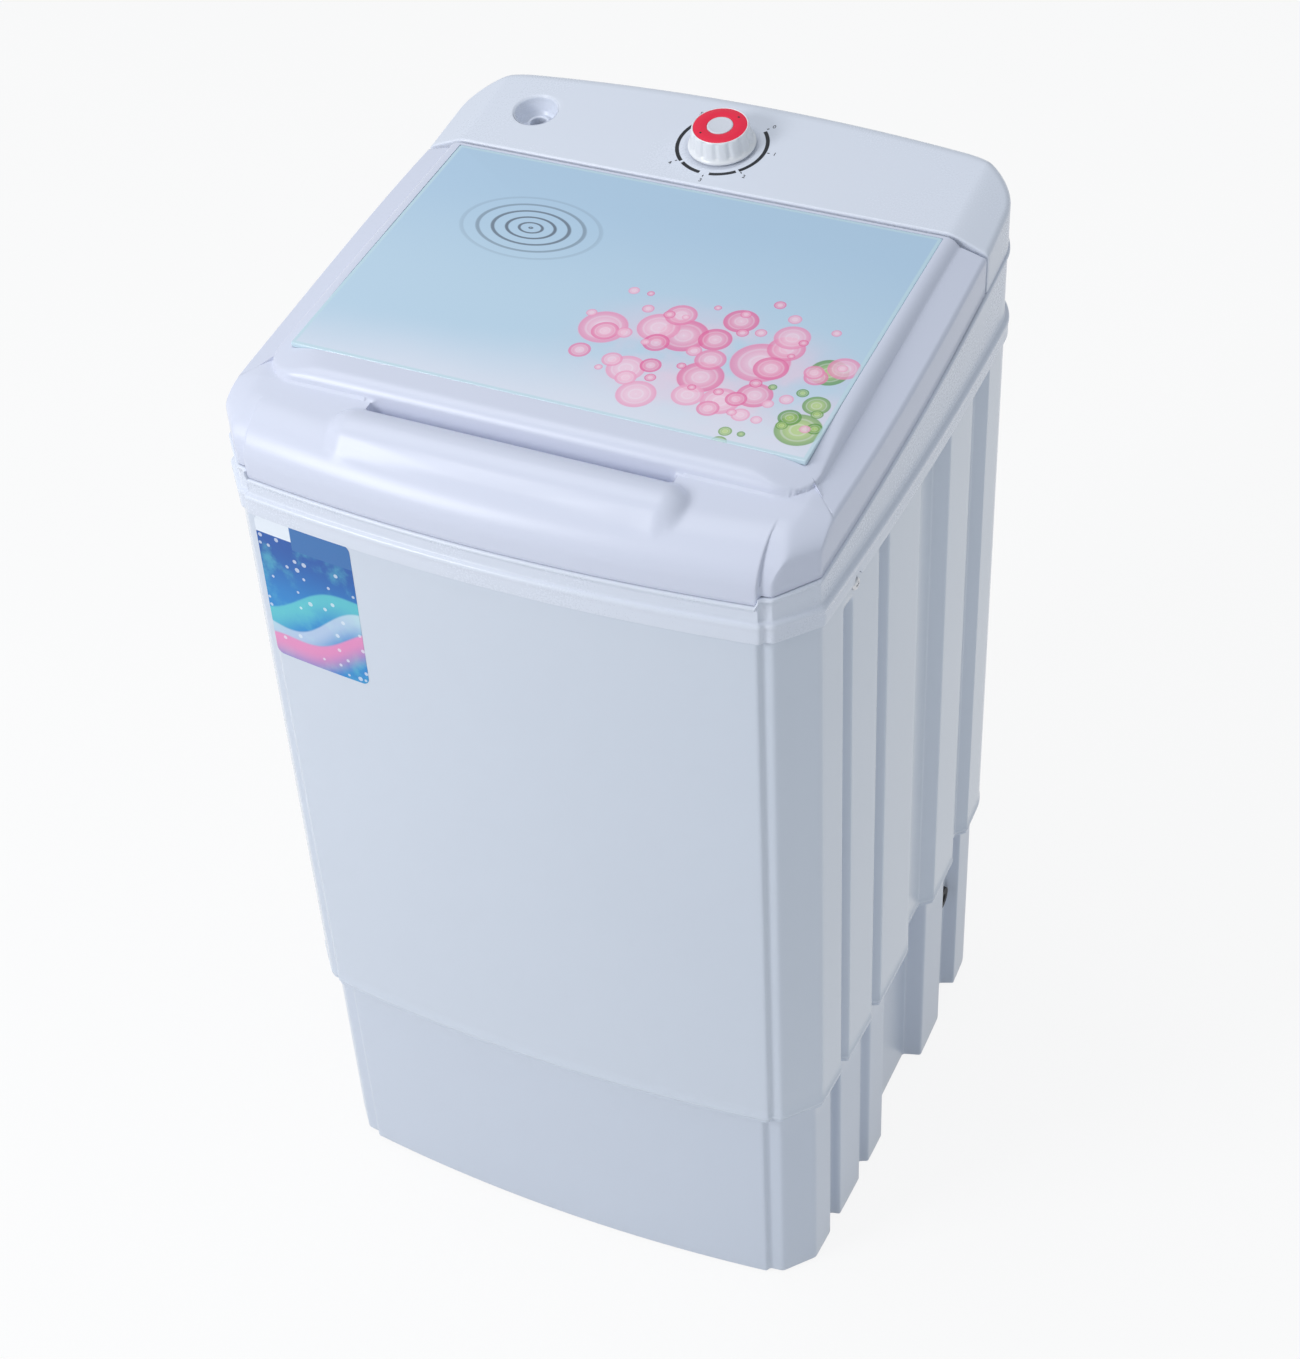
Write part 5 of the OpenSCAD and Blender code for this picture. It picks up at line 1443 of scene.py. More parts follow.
class Wire:
    """A node tree with short ways of adding nodes and joining them."""

    def __init__(self, tree: bpy.types.NodeTree) -> None:
        """Takes the tree and empties it."""
        self.tree = tree
        tree.nodes.clear()

    def add(self, kind: str, **settings: object) -> bpy.types.Node:
        """Adds a node, sets its properties, and sets or links the inputs named in_0, in_1 ...

        Args:
            kind: the node's type.
            settings: properties by name, or inputs by in_ and their number or name.

        Returns:
            The node.
        """
        node = self.tree.nodes.new(kind)
        for key, value in settings.items():
            if not key.startswith("in_"):
                setattr(node, key, value)
        for key, value in settings.items():
            if key.startswith("in_"):
                name = key[3:].replace("_", " ")
                self.feed(node.inputs[int(name) if name.isdigit() else name], value)
        return node

    def feed(self, socket: Socket, value: object) -> None:
        """Links a socket to another, or sets its value."""
        if isinstance(value, Socket):
            self.tree.links.new(value, socket)
        elif isinstance(value, tuple) and len(value) == 3 and socket.type == "RGBA":
            socket.default_value = (*value, 1.0)
        else:
            socket.default_value = value

    def maths(self, operation: str, a: object, b: object = 0.0,
              c: object = 0.0) -> Socket:
        """The result of a Math node."""
        return self.add("ShaderNodeMath", operation=operation, in_0=a, in_1=b, in_2=c).outputs[0]

    def times(self, a: object, b: object) -> Socket:
        """The product of two values."""
        return self.maths("MULTIPLY", a, b)

    def minus(self, a: object, b: object) -> Socket:
        """The first value less the second."""
        return self.maths("SUBTRACT", a, b)

    def fused(self, a: object, b: object, c: object) -> Socket:
        """The product of the first two values, plus the third."""
        return self.maths("MULTIPLY_ADD", a, b, c)

    def step(self, value: object, start: float, end: float) -> Socket:
        """A smooth step from 0 at start to 1 at end."""
        return self.add("ShaderNodeMapRange", interpolation_type="SMOOTHSTEP", in_Value=value,
                        in_1=start, in_2=end).outputs[0]

    def blend(self, share: object, a: object, b: object, kind: str = "MIX") -> Socket:
        """A mix of two colours."""
        node = self.add("ShaderNodeMix", data_type="RGBA", blend_type=kind)
        for socket, value in ((node.inputs[0], share), (node.inputs[6], a), (node.inputs[7], b)):
            self.feed(socket, value)
        return node.outputs[2]

    def axes(self) -> tuple[Socket, ...]:
        """The object coordinates x, y and z in metres."""
        place = self.add("ShaderNodeTexCoord").outputs["Object"]
        return tuple(self.add("ShaderNodeSeparateXYZ", in_0=place).outputs)

    def noise(self, scale: object, detail: float = 2.0, vector: Optional[object] = None,
              rough: float = 0.5) -> Socket:
        """Noise over the object coordinates, about 0.5."""
        source = vector or self.add("ShaderNodeTexCoord").outputs["Object"]
        return self.add("ShaderNodeTexNoise", in_Vector=source, in_Scale=scale, in_Detail=detail,
                        in_Roughness=rough).outputs[0]

    def surface(self, **settings: object) -> None:
        """Adds a principled shader, with inputs named as in add, as the material's surface."""
        shader = self.add("ShaderNodeBsdfPrincipled", **settings)
        self.add("ShaderNodeOutputMaterial", in_Surface=shader.outputs[0])


def new_material(name: str) -> tuple[bpy.types.Material, Wire]:
    """A material that uses nodes, and the wire of its empty tree."""
    mat = bpy.data.materials.new(name)
    mat.use_nodes = True
    return mat, Wire(mat.node_tree)


class Effects:
    """Node groups that several finishes share, each built once."""

    def __init__(self) -> None:
        """Builds the groups."""
        self.moulding = self.make_moulding()
        self.metal = self.make_metal()
        self.print = self.make_print()

    worked = (("Color", COLOR), ("Roughness", FLOAT), ("Height", FLOAT))

    @staticmethod
    def group(
        name: str, inputs: Sequence[tuple[str, str, object]], outputs: Sequence[tuple[str, str]],
    ) -> tuple[bpy.types.NodeTree, Wire, bpy.types.Node, bpy.types.Node]:
        """An empty group with its sockets.

        Args:
            name: name of the group.
            inputs: name, type and default of each input.
            outputs: name and type of each output.

        Returns:
            The group, its wire, its input node and its output node.
        """
        tree = bpy.data.node_groups.new(name, "ShaderNodeTree")
        for label, kind, default in inputs:
            socket = tree.interface.new_socket(label, in_out="INPUT", socket_type=kind)
            socket.default_value = default
        for label, kind in outputs:
            tree.interface.new_socket(label, in_out="OUTPUT", socket_type=kind)
        wire = Wire(tree)
        return tree, wire, wire.add("NodeGroupInput"), wire.add("NodeGroupOutput")

    def make_moulding(self) -> bpy.types.NodeTree:
        """Moulded plastic: faint flow clouds in the colour, orange peel, and handled patches."""
        tree, w, given, out = self.group(
            "moulded plastic",
            [("Color", COLOR, (0.8, 0.8, 0.8, 1)), ("Drift", FLOAT, 0.03),
             ("Roughness", FLOAT, 0.3), ("Grain", FLOAT, 900.0)], self.worked)
        cloud = w.noise(5.0, 3.0)
        fine = w.noise(given.outputs["Grain"], 2.0)
        swing = w.times(w.minus(cloud, 0.5), given.outputs["Drift"])
        value = w.maths("ADD", swing, 1.0)
        colour = w.add("ShaderNodeHueSaturation", in_Value=value, in_Color=given.outputs["Color"])
        w.feed(out.inputs["Color"], colour.outputs[0])
        handled = w.step(w.noise(9.0, 2.0), 0.3, 0.75)
        extra = w.fused(handled, 0.025, given.outputs["Roughness"])
        speck = w.fused(w.minus(fine, 0.5), 0.03, extra)
        w.feed(out.inputs["Roughness"], speck)
        w.feed(out.inputs["Height"], w.fused(w.noise(120.0, 2.0), 0.35, fine))
        return tree

    def make_metal(self) -> bpy.types.NodeTree:
        """Worked metal: stretched scratches, mottled tone and specks of tarnish."""
        tree, w, given, out = self.group(
            "worked metal",
            [("Color", COLOR, (0.6, 0.6, 0.6, 1)), ("Roughness", FLOAT, 0.35),
             ("Scratch", VECTOR, (1.0, 1.0, 40.0)), ("Tarnish", FLOAT, 0.3)], self.worked)
        place = w.add("ShaderNodeTexCoord").outputs["Object"]
        long = w.add("ShaderNodeVectorMath", operation="MULTIPLY", in_0=place,
                     in_1=given.outputs["Scratch"]).outputs[0]
        scratch = w.noise(60.0, 3.0, long)
        mottle = w.noise(70.0, 4.0, rough=0.7)
        dark = w.times(w.step(mottle, 0.5, 0.72), given.outputs["Tarnish"])
        colour = w.blend(dark, given.outputs["Color"], (0.16, 0.13, 0.10))
        w.feed(out.inputs["Color"], colour)
        rough = w.fused(scratch, 0.18, given.outputs["Roughness"])
        w.feed(out.inputs["Roughness"], w.fused(dark, 0.3, rough))
        w.feed(out.inputs["Height"], scratch)
        return tree

    def make_print(self) -> bpy.types.NodeTree:
        """Printed bubbles: round cells as large as they go without meeting, with soft edges."""
        tree, w, given, out = self.group(
            "printed bubbles",
            [("Vector", VECTOR, (0, 0, 0)), ("Scale", FLOAT, 40.0), ("Loose", FLOAT, 0.4)],
            [("Mask", FLOAT), ("Depth", FLOAT), ("Chance", FLOAT), ("Lot", FLOAT),
             ("Centre", VECTOR)])
        cell = w.add("ShaderNodeTexVoronoi", voronoi_dimensions="2D",
                     in_Vector=given.outputs["Vector"], in_Scale=given.outputs["Scale"],
                     in_Randomness=given.outputs["Loose"])
        chance = w.add("ShaderNodeSeparateColor", in_0=cell.outputs["Color"])
        room = w.fused(given.outputs["Loose"], -0.5, 0.5)
        radius = w.times(w.fused(chance.outputs[0], 0.45, 0.55), room)
        depth = w.maths("DIVIDE", cell.outputs["Distance"], radius)
        w.feed(out.inputs["Mask"], w.step(depth, 1.0, 0.93))
        w.feed(out.inputs["Depth"], depth)
        w.feed(out.inputs["Chance"], chance.outputs[2])
        w.feed(out.inputs["Lot"], chance.outputs[1])
        w.feed(out.inputs["Centre"], cell.outputs["Position"])
        return tree


@dataclass(frozen=True)
class Plastic:
    """A moulded plastic finish."""

    name: str
    colour: Colour
    roughness: float = 0.3
    drift: float = 0.04
    grain: float = 900.0
    bump: float = 0.05
    coat: float = 0.0
    gloss: float = 0.5

    def make(self, effects: Effects) -> bpy.types.Material:
        """Builds the material."""
        mat, w = new_material(self.name)
        colour, rough, height = w.add(
            "ShaderNodeGroup", node_tree=effects.moulding, in_Color=self.colour,
            in_Drift=self.drift, in_Roughness=self.roughness, in_Grain=self.grain).outputs
        bump = w.add("ShaderNodeBump", in_Strength=self.bump, in_Distance=0.0006, in_Height=height)
        w.surface(in_Base_Color=colour, in_Roughness=rough, in_Normal=bump.outputs[0], in_IOR=1.5,
                  in_Specular_IOR_Level=self.gloss, in_Coat_Weight=self.coat,
                  in_Coat_Roughness=0.07)
        return mat


@dataclass(frozen=True)
class Metal:
    """A worked metal finish."""

    name: str
    colour: Colour
    roughness: float = 0.3
    scratch: tuple[float, float, float] = (1.0, 1.0, 40.0)
    tarnish: float = 0.2
    bump: float = 0.08

    def make(self, effects: Effects) -> bpy.types.Material:
        """Builds the material."""
        mat, w = new_material(self.name)
        colour, rough, height = w.add(
            "ShaderNodeGroup", node_tree=effects.metal, in_Color=self.colour,
            in_Roughness=self.roughness, in_Scratch=self.scratch, in_Tarnish=self.tarnish).outputs
        bump = w.add("ShaderNodeBump", in_Strength=self.bump, in_Distance=0.0005, in_Height=height)
        w.surface(in_Base_Color=colour, in_Metallic=1.0, in_Roughness=rough,
                  in_Normal=bump.outputs[0])
        return mat


@dataclass(frozen=True)
class Layers:
    """Bare or wound metal in layers: wire turns or stacked sheets, as upright sine waves, with
    painted shade in the troughs (between the sheets also their dark joints).
    """

    name: str
    colour: Colour
    # colour of the troughs: painted shade between wire turns; between sheets, their dark joints
    # with painted shade
    dark: Colour
    pitch: float
    metallic: float = 1.0
    roughness: float = 0.4
    turns: bool = False

    def make(self, effects: Effects) -> bpy.types.Material:
        """Builds the material."""
        mat, w = new_material(self.name)
        x, y, z = w.axes()
        if self.turns:
            around = w.maths("ARCTAN2", w.maths("ADD", y, 0.022), x)
            phase = w.maths("ADD", w.times(around, 0.045), w.times(z, 0.35))
        else:
            phase = z
        wave = w.maths("SINE", w.times(phase, 2 * math.pi / (self.pitch * MM)))
        wave = w.fused(wave, 0.5, 0.5)
        group = w.add("ShaderNodeGroup", node_tree=effects.metal, in_Color=self.colour,
                      in_Roughness=self.roughness, in_Scratch=(1.0, 1.0, 8.0), in_Tarnish=0.25)
        # the troughs take the dark colour: painted shade between the wire turns, and between the
        # sheets their dark joints with painted shade
        colour = w.blend(w.step(wave, 0.0, 0.35), self.dark, group.outputs["Color"])
        bump = w.add("ShaderNodeBump", in_Strength=0.5, in_Distance=0.0004, in_Height=wave)
        w.surface(in_Base_Color=colour, in_Metallic=self.metallic,
                  in_Roughness=group.outputs["Roughness"], in_Normal=bump.outputs[0])
        return mat


@dataclass(frozen=True)
class PrintedGlass:
    """Glass printed behind: a pale blue fading to near white, bubbles and a ring of ripples."""

    name: str = "printed glass"
    back: Colour = tone(178, 206, 230)
    middle: Colour = tone(189, 214, 233)
    front: Colour = tone(222, 227, 240)
    pink: Colour = tone(232, 96, 158)
    rose: Colour = tone(240, 140, 186)
    blush: Colour = tone(250, 208, 226)
    leaf: Colour = tone(88, 150, 62)
    lime: Colour = tone(186, 214, 120)
    silver: Colour = tone(92, 104, 120)
    edge: Colour = tone(196, 222, 232)
    # the drift's oval: middle, half sizes and lean, in metres
    drift_at: tuple[float, float] = (0.088, -0.050)
    drift_half: tuple[float, float] = (0.078, 0.042)
    lean: float = 0.10
    # the ripples: middle, squash from front to back and pitch
    ripple_at: tuple[float, float] = (-0.078, 0.030)
    ripple_squash: float = 1.5
    ripple_pitch: float = 0.0160
    # cells to a metre, reach, greatest share kept, and looseness of each layer of bubbles
    layers: tuple[tuple[float, float, float, float], ...] = (
        (21.0, 1.25, 1.0, 0.22), (25.0, 1.35, 1.0, 0.26), (30.0, 1.45, 0.8, 0.3),
        (44.0, 1.55, 0.5, 0.4), (70.0, 1.75, 0.35, 0.42))

    def drift(self, w: Wire, x: Socket,
              y: Socket) -> Socket:
        """Distance from the middle of the drift of bubbles, measured on a leaning oval.

        Args:
            w: the material's wire.
            x: across, in metres.
            y: front to back, in metres.

        Returns:
            Nought at the middle and one on the oval.
        """
        dx = w.maths("DIVIDE", w.minus(x, self.drift_at[0]), self.drift_half[0])
        leant = w.fused(x, self.lean, y)
        dy = w.maths("DIVIDE", w.minus(leant, self.drift_at[1]), self.drift_half[1])
        return w.maths("SQRT", w.fused(dx, dx, w.times(dy, dy)))

    def make(self, effects: Effects) -> bpy.types.Material:
        """Builds the material."""
        mat, w = new_material(self.name)
        x, y, _ = w.axes()
        cloud = w.noise(9.0, 3.0)
        along = w.fused(cloud, 0.03, y)
        base = w.blend(w.step(along, 0.09, -0.02), self.back, self.middle)
        leant = w.fused(x, -self.lean, along)
        base = w.blend(w.step(leant, -0.035, -0.108), base, self.front)

        # ripples: thin rings about one point, fading outwards
        rx = w.minus(x, self.ripple_at[0])
        ry = w.times(w.minus(y, self.ripple_at[1]), self.ripple_squash)
        r = w.maths("SQRT", w.maths("ADD", w.times(rx, rx), w.times(ry, ry)))
        ring = w.maths("SINE", w.times(w.maths("POWER", r, 0.8), 2 * math.pi / self.ripple_pitch))
        line = w.times(w.step(ring, 0.45, 0.95), w.step(r, 0.056, 0.018))
        base = w.blend(w.times(line, 0.9), base, self.silver)

        # bubbles: a drift of round cells, thick in its middle, over a pink haze
        near = w.step(self.drift(w, x, y), 1.5, 0.4)
        haze = w.times(near, w.step(w.noise(26.0, 3.0), 0.3, 0.62))
        base = w.blend(w.times(haze, 0.6), base, self.blush)
        for number, (scale, reach, most, loose) in enumerate(self.layers):
            away = (0.131 * number, 0.077 * number, 0.0)
            place = w.add("ShaderNodeTexCoord").outputs["Object"]
            shift = w.add("ShaderNodeMapping", in_Vector=place, in_Location=away)
            spots = w.add("ShaderNodeGroup", node_tree=effects.print, in_Vector=shift.outputs[0],
                          in_Scale=scale, in_Loose=loose)
            mask, depth, chance, lot, middle = spots.outputs
            centre = w.add("ShaderNodeSeparateXYZ", in_0=middle)
            cx = w.minus(centre.outputs[0], away[0])
            cy = w.minus(centre.outputs[1], away[1])
            density = w.times(w.step(self.drift(w, cx, cy), reach, reach - 0.5), most)
            kept = w.maths("LESS_THAN", lot, density)
            shade = w.step(w.fused(chance, 0.35, depth), 0.25, 1.3)
            hue = w.blend(shade, self.blush, w.blend(chance, self.rose, self.pink))
            corner = w.step(w.minus(cx, cy), 0.175, 0.215)
            green = w.step(w.fused(corner, 0.8, chance), 0.97, 0.98)
            hue = w.blend(green, hue, w.blend(shade, self.lime, self.leaf))
            waves = w.step(w.maths("COSINE", w.times(depth, 6 * math.pi)), 0.4, 0.95)
            hue = w.blend(w.times(waves, 0.28), hue, (0.95, 0.9, 0.95))
            base = w.blend(w.times(w.times(mask, kept), 0.82), base, hue)

        # the clear ground margin, brighter than the print
        side = w.minus(w.maths("ABSOLUTE", x), 0.1606)
        ends = w.minus(w.maths("ABSOLUTE", w.maths("ADD", y, 0.0098)), 0.1060)
        rimmed = w.step(w.maths("MAXIMUM", side, ends), -0.0020, -0.0008)
        base = w.blend(w.times(rimmed, 0.8), base, self.edge)
        smear = w.fused(w.step(w.noise(11.0, 4.0, rough=0.65), 0.45, 0.7), 0.05, 0.05)
        w.surface(in_Base_Color=base, in_Roughness=smear, in_IOR=1.52, in_Coat_Weight=0.4,
                  in_Coat_Roughness=0.03)
        return mat


@dataclass(frozen=True)
class PrintedLabel:
    """The label's print: deep blue falling to turquoise, waves, a pink drift and a blue tab."""

    label: Label
    name: str = "printed label"
    deep: Colour = tone(14, 84, 166)
    blue: Colour = tone(16, 132, 204)
    aqua: Colour = tone(96, 205, 208)
    pink: Colour = tone(232, 140, 190)
    white: Colour = tone(232, 238, 246)
    tab: Colour = tone(52, 112, 176)

    def make(self, effects: Effects) -> bpy.types.Material:
        """Builds the material."""
        mat, w = new_material(self.name)
        x, _, z = w.axes()
        width = (self.label.right - self.label.left) * MM
        height = (self.label.high - self.label.low) * MM
        u = w.maths("DIVIDE", w.minus(x, self.label.left * MM), width)
        v = w.maths("DIVIDE", w.minus(z, self.label.low * MM), height)
        base = w.blend(w.step(v, 0.35, 0.85), self.blue, self.deep)
        haze = w.noise(60.0, 4.0, rough=0.6)
        base = w.blend(w.times(w.step(haze, 0.45, 0.75), 0.45), base, self.aqua)
        bands = ((0.50, 0.05, self.aqua, 0.8), (0.34, 0.07, self.white, 0.55),
                 (0.22, 0.05, self.pink, 0.95))
        for offset, swing, colour, strength in bands:
            wave = w.times(w.maths("SINE", w.fused(u, 5.2, offset * 9)), swing)
            gap = w.minus(w.maths("ADD", w.fused(u, 0.22, wave), offset - 0.1), v)
            band = w.times(w.step(gap, 0.0, 0.02), w.step(gap, 0.26, 0.05))
            base = w.blend(w.times(band, strength), base, colour)
        dots = w.add("ShaderNodeGroup", node_tree=effects.print, in_Scale=170.0, in_Loose=0.42)
        flat = w.add("ShaderNodeCombineXYZ", in_0=x, in_1=z)
        w.feed(dots.inputs["Vector"], flat.outputs[0])
        sown = w.times(w.maths("LESS_THAN", dots.outputs["Lot"], 0.2), 0.6)
        base = w.blend(w.times(dots.outputs["Mask"], sown), base, self.white)
        top = w.step(v, 0.885, 0.89)
        tab = w.times(w.step(u, 0.37, 0.38), w.step(v, 0.83, 0.835))
        base = w.blend(top, base, self.white)
        base = w.blend(tab, base, self.tab)
        w.surface(in_Base_Color=base, in_Roughness=w.fused(haze, 0.12, 0.18))
        return mat


# ---- The set ----
@dataclass
class Studio:
    """The camera, the soft light and the pale floor."""

    lens: float = 67.58
    place: tuple[float, float, float] = (0.5864, -1.1477, 1.4632)
    azimuth: float = 27.07
    elevation: float = 40.84
    roll: float = -3.44
    floor_half: float = 9.0
    world: float = 0.52

    def camera(self) -> None:
        """The camera at the viewing angle, looking down at the front and right side."""
        data = bpy.data.cameras.new("camera")
        data.lens = self.lens
        data.sensor_width = 36.0
        data.sensor_fit = "AUTO"
        data.clip_start, data.clip_end = 0.05, 60.0
        cam = linked("camera", data)
        az, el = math.radians(self.azimuth), math.radians(self.elevation)
        view = Vector((-math.sin(az) * math.cos(el), math.cos(az) * math.cos(el), -math.sin(el)))
        turn = view.to_track_quat("-Z", "Y").to_matrix().to_4x4()
        turn = turn @ Matrix.Rotation(math.radians(self.roll), 4, "Z")
        cam.matrix_world = Matrix.Translation(self.place) @ turn
        bpy.context.scene.camera = cam

    @staticmethod
    def lamp(name: str, place: Sequence[float], size: float, power: float, tint: Colour) -> None:
        """A square soft lamp that faces the middle of the object.

        Args:
            name: name of the lamp.
            place: where it hangs, in metres.
            size: length of its side.
            power: watts.
            tint: colour of its light.
        """
        data = bpy.data.lights.new(name, "AREA")
        data.shape = "SQUARE"
        data.size = size
        data.energy = power
        data.color = tint
        lamp = linked(name, data)
        aim = Vector((0.0, 0.0, 0.4)) - Vector(place)
        lamp.matrix_world = (Matrix.Translation(place)
                             @ aim.to_track_quat("-Z", "Y").to_matrix().to_4x4())

    def light(self) -> None:
        """A large lamp above the left of the front, a weaker one at the right, and plain air."""
        self.lamp("key", (-1.15, -1.65, 1.55), 0.75, 22.5, (0.985, 0.99, 1.0))
        self.lamp("top", (-0.8, -0.1, 2.7), 1.3, 12.5, (0.96, 0.98, 1.0))
        self.lamp("side", (2.4, -0.6, 1.3), 1.2, 2.8, (0.80, 0.91, 1.0))
        world = bpy.data.worlds.new("air")
        world.use_nodes = True
        bpy.context.scene.world = world
        w = Wire(world.node_tree)
        path = w.add("ShaderNodeLightPath")
        seen = w.maths("MAXIMUM", path.outputs["Is Camera Ray"],
                       path.outputs["Is Transmission Ray"])
        strength = w.fused(seen, 1.0 - self.world, self.world)
        air = w.add("ShaderNodeBackground", in_Color=(0.90, 0.955, 1.0), in_Strength=strength)
        w.add("ShaderNodeOutputWorld", in_0=air.outputs[0])

    def floor(self) -> None:
        """A pale floor, white to the camera and to reflections, that keeps a soft shadow."""
        s = self.floor_half
        mesh = bpy.data.meshes.new("floor")
        mesh.from_pydata([(-s, -s, 0), (s, -s, 0), (s, s, 0), (-s, s, 0)], [], [(0, 1, 2, 3)])
        floor = linked("floor", mesh)
        mat, w = new_material("pale floor")
        path = w.add("ShaderNodeLightPath")
        seen = w.maths("MAXIMUM", path.outputs["Is Camera Ray"],
                       w.maths("MAXIMUM", path.outputs["Is Glossy Ray"],
                               path.outputs["Is Transmission Ray"]))
        tint = w.blend(w.step(w.noise(3.0, 3.0), 0.3, 0.7), (0.80, 0.81, 0.83), (0.83, 0.84, 0.85))
        matt = w.add("ShaderNodeBsdfDiffuse", in_Color=tint)
        white = w.add("ShaderNodeEmission", in_Color=(1.0, 1.0, 1.0), in_Strength=1.0)
        share = w.times(seen, 0.88)
        both = w.add("ShaderNodeMixShader", in_0=share, in_1=matt.outputs[0], in_2=white.outputs[0])
        w.add("ShaderNodeOutputMaterial", in_Surface=both.outputs[0])
        mesh.materials.append(mat)

    def build(self) -> None:
        """Sets up the camera, the light and the floor."""
        scene = bpy.context.scene
        scene.view_settings.view_transform = "Standard"
        self.camera()
        self.light()
        self.floor()


# ---- The machine ----
class Kind(Enum):
    """The finishes that pieces and carried-over parts wear."""

    CABINET = "cabinet"
    BASE = "base"
    DECK = "deck"
    LID = "lid"
    WHITE = "white"
    RED = "red"
    BUTTON = "button"
    GREY = "grey"
    BLACK = "black"
    INK = "ink"
    TUB = "tub"
    BASKET = "basket"
    RUBBER = "rubber"
    ZINC = "zinc"
    STEEL = "steel"
    SHEETS = "sheets"
    WIRE = "wire"
    CAST = "cast"
    IRON = "iron"
    LINING = "lining"
    CAN = "can"
    GLASS = "glass"
    LABEL = "label"


@dataclass
class Machine:
    """The whole dryer: shells, lid, panel and knob, and the dressed parts inside."""

    frame: dict
    body: Body = field(default_factory=Body)
    deck: Deck = field(default_factory=Deck)
    lid: Lid = field(default_factory=Lid)
    panel: ControlPanel = field(default_factory=ControlPanel)
    label: Label = field(default_factory=Label)
    screw: Screw = field(default_factory=Screw)
    finishes: dict[Kind, bpy.types.Material] = field(default_factory=dict)

    def make_finishes(self) -> None:
        """Builds every material once."""
        effects = Effects()
        recipes = {
            Kind.CABINET: Plastic("cabinet plastic", tone(209, 216, 228), 0.24, 0.03, bump=0.02,
                                  coat=0.15),
            Kind.BASE: Plastic("base plastic", tone(206, 213, 226), 0.30, 0.04, bump=0.03),
            Kind.DECK: Plastic("deck plastic", tone(220, 225, 237), 0.26, 0.03, bump=0.012),
            Kind.LID: Plastic("lid plastic", tone(213, 217, 233), 0.28, 0.02, bump=0.015,
                              gloss=0.32),
            Kind.WHITE: Plastic("white plastic", tone(236, 238, 242), 0.28, 0.03),
            Kind.RED: Plastic("red plastic", tone(236, 26, 66), 0.3, 0.03),
            Kind.BUTTON: Plastic("button plastic", tone(214, 217, 226), 0.25, 0.03),
            Kind.GREY: Plastic("grey plastic", tone(176, 180, 188), 0.4, 0.06, bump=0.1),
            Kind.BLACK: Plastic("black plastic", tone(44, 45, 48), 0.45, 0.1, bump=0.12),
            Kind.INK: Plastic("ink", tone(30, 32, 38), 0.35, 0.1),
            Kind.TUB: Plastic("tub plastic", tone(206, 216, 226), 0.34, 0.08, 500.0, 0.1),
            Kind.BASKET: Plastic("basket plastic", tone(222, 226, 232), 0.32, 0.06, 600.0, 0.08),
            Kind.RUBBER: Plastic("rubber", tone(38, 38, 41), 0.62, 0.15, 1400.0, 0.2),
            Kind.LINING: Plastic("brake lining", tone(128, 88, 64), 0.8, 0.4, 2600.0, 0.6),
            Kind.ZINC: Metal("zinc plate", (0.62, 0.63, 0.66), 0.26, tarnish=0.12),
            Kind.STEEL: Metal("spring steel", (0.34, 0.35, 0.37), 0.34, tarnish=0.35),
            Kind.CAST: Metal("die cast metal", (0.60, 0.61, 0.63), 0.42, (6.0, 6.0, 6.0), 0.25,
                             0.25),
            Kind.IRON: Metal("turned iron", (0.26, 0.26, 0.28), 0.34, (1.0, 1.0, 60.0), 0.4),
            Kind.CAN: Metal("drawn can", (0.66, 0.67, 0.70), 0.24, (4.0, 4.0, 0.6), 0.1),
            # the second colour of each layered finish is painted shade in its troughs, with the
            # sheets' dark joints
            Kind.SHEETS: Layers("stacked sheets", (0.34, 0.35, 0.37), (0.05, 0.05, 0.055), 1.0),
            Kind.WIRE: Layers("wound copper", (0.70, 0.30, 0.12), (0.12, 0.04, 0.02), 1.3, 0.85,
                              0.34, True),
            Kind.GLASS: PrintedGlass(),
            Kind.LABEL: PrintedLabel(self.label),
        }
        self.finishes = {kind: recipe.make(effects) for kind, recipe in recipes.items()}

    def wear(self, obj: Piece, kind: Kind) -> Piece:
        """Gives a piece its finish."""
        obj.data.materials.clear()
        obj.data.materials.append(self.finishes[kind])
        return obj

    def place(self, obj: Piece, kind: Kind, body: str, *nodes: str) -> Piece:
        """Finishes a new piece, lets it ride, and hides the parts it stands for.

        Args:
            obj: the piece.
            kind: its finish.
            body: the body it rides on.
            nodes: the parts that it replaces.

        Returns:
            The piece.
        """
        self.wear(obj, kind)
        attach(obj, body)
        if nodes:
            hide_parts(*nodes)
        LOG.info("%s: %d faces on %s", obj.name, len(obj.data.polygons), body)
        return obj

    def shells(self) -> None:
        """The outer shells and their screws."""
        self.place(self.body.cabinet(), Kind.CABINET, "machine", "cabinet")
        self.place(self.body.base(), Kind.BASE, "machine", "base")
        self.place(self.deck.shell(), Kind.DECK, "machine", "deck")
        for piece in self.deck.fittings():
            self.place(piece, Kind.DECK, "machine")
        surface = Surface()
        out = self.body.cabinet_out
        x_at, y_at = self.deck.screw_x, self.deck.screw_y
        z = LEVELS.skirt - self.deck.screw_drop
        for s in (-1, 1):
            turn = math.asin(-y_at / (OUTLINE.side_arc + out))
            x = float(OUTLINE.side_x(y_at, out))
            self.screw.add(surface, Vector((s * x, y_at, z)),
                           Vector((s * math.cos(turn), -math.sin(turn), 0.0)))
            turn = math.asin(x_at / (OUTLINE.front_arc + out))
            y = float(OUTLINE.front_y(x_at, out))
            self.screw.add(surface, Vector((s * x_at, y, z)),
                           Vector((s * math.sin(turn), math.cos(turn), 0.0)))
        self.place(surface.build("deck_screw_heads", 40.0), Kind.ZINC, "machine", "deck_screws")
        self.place(self.label.sheet(), Kind.LABEL, "machine")

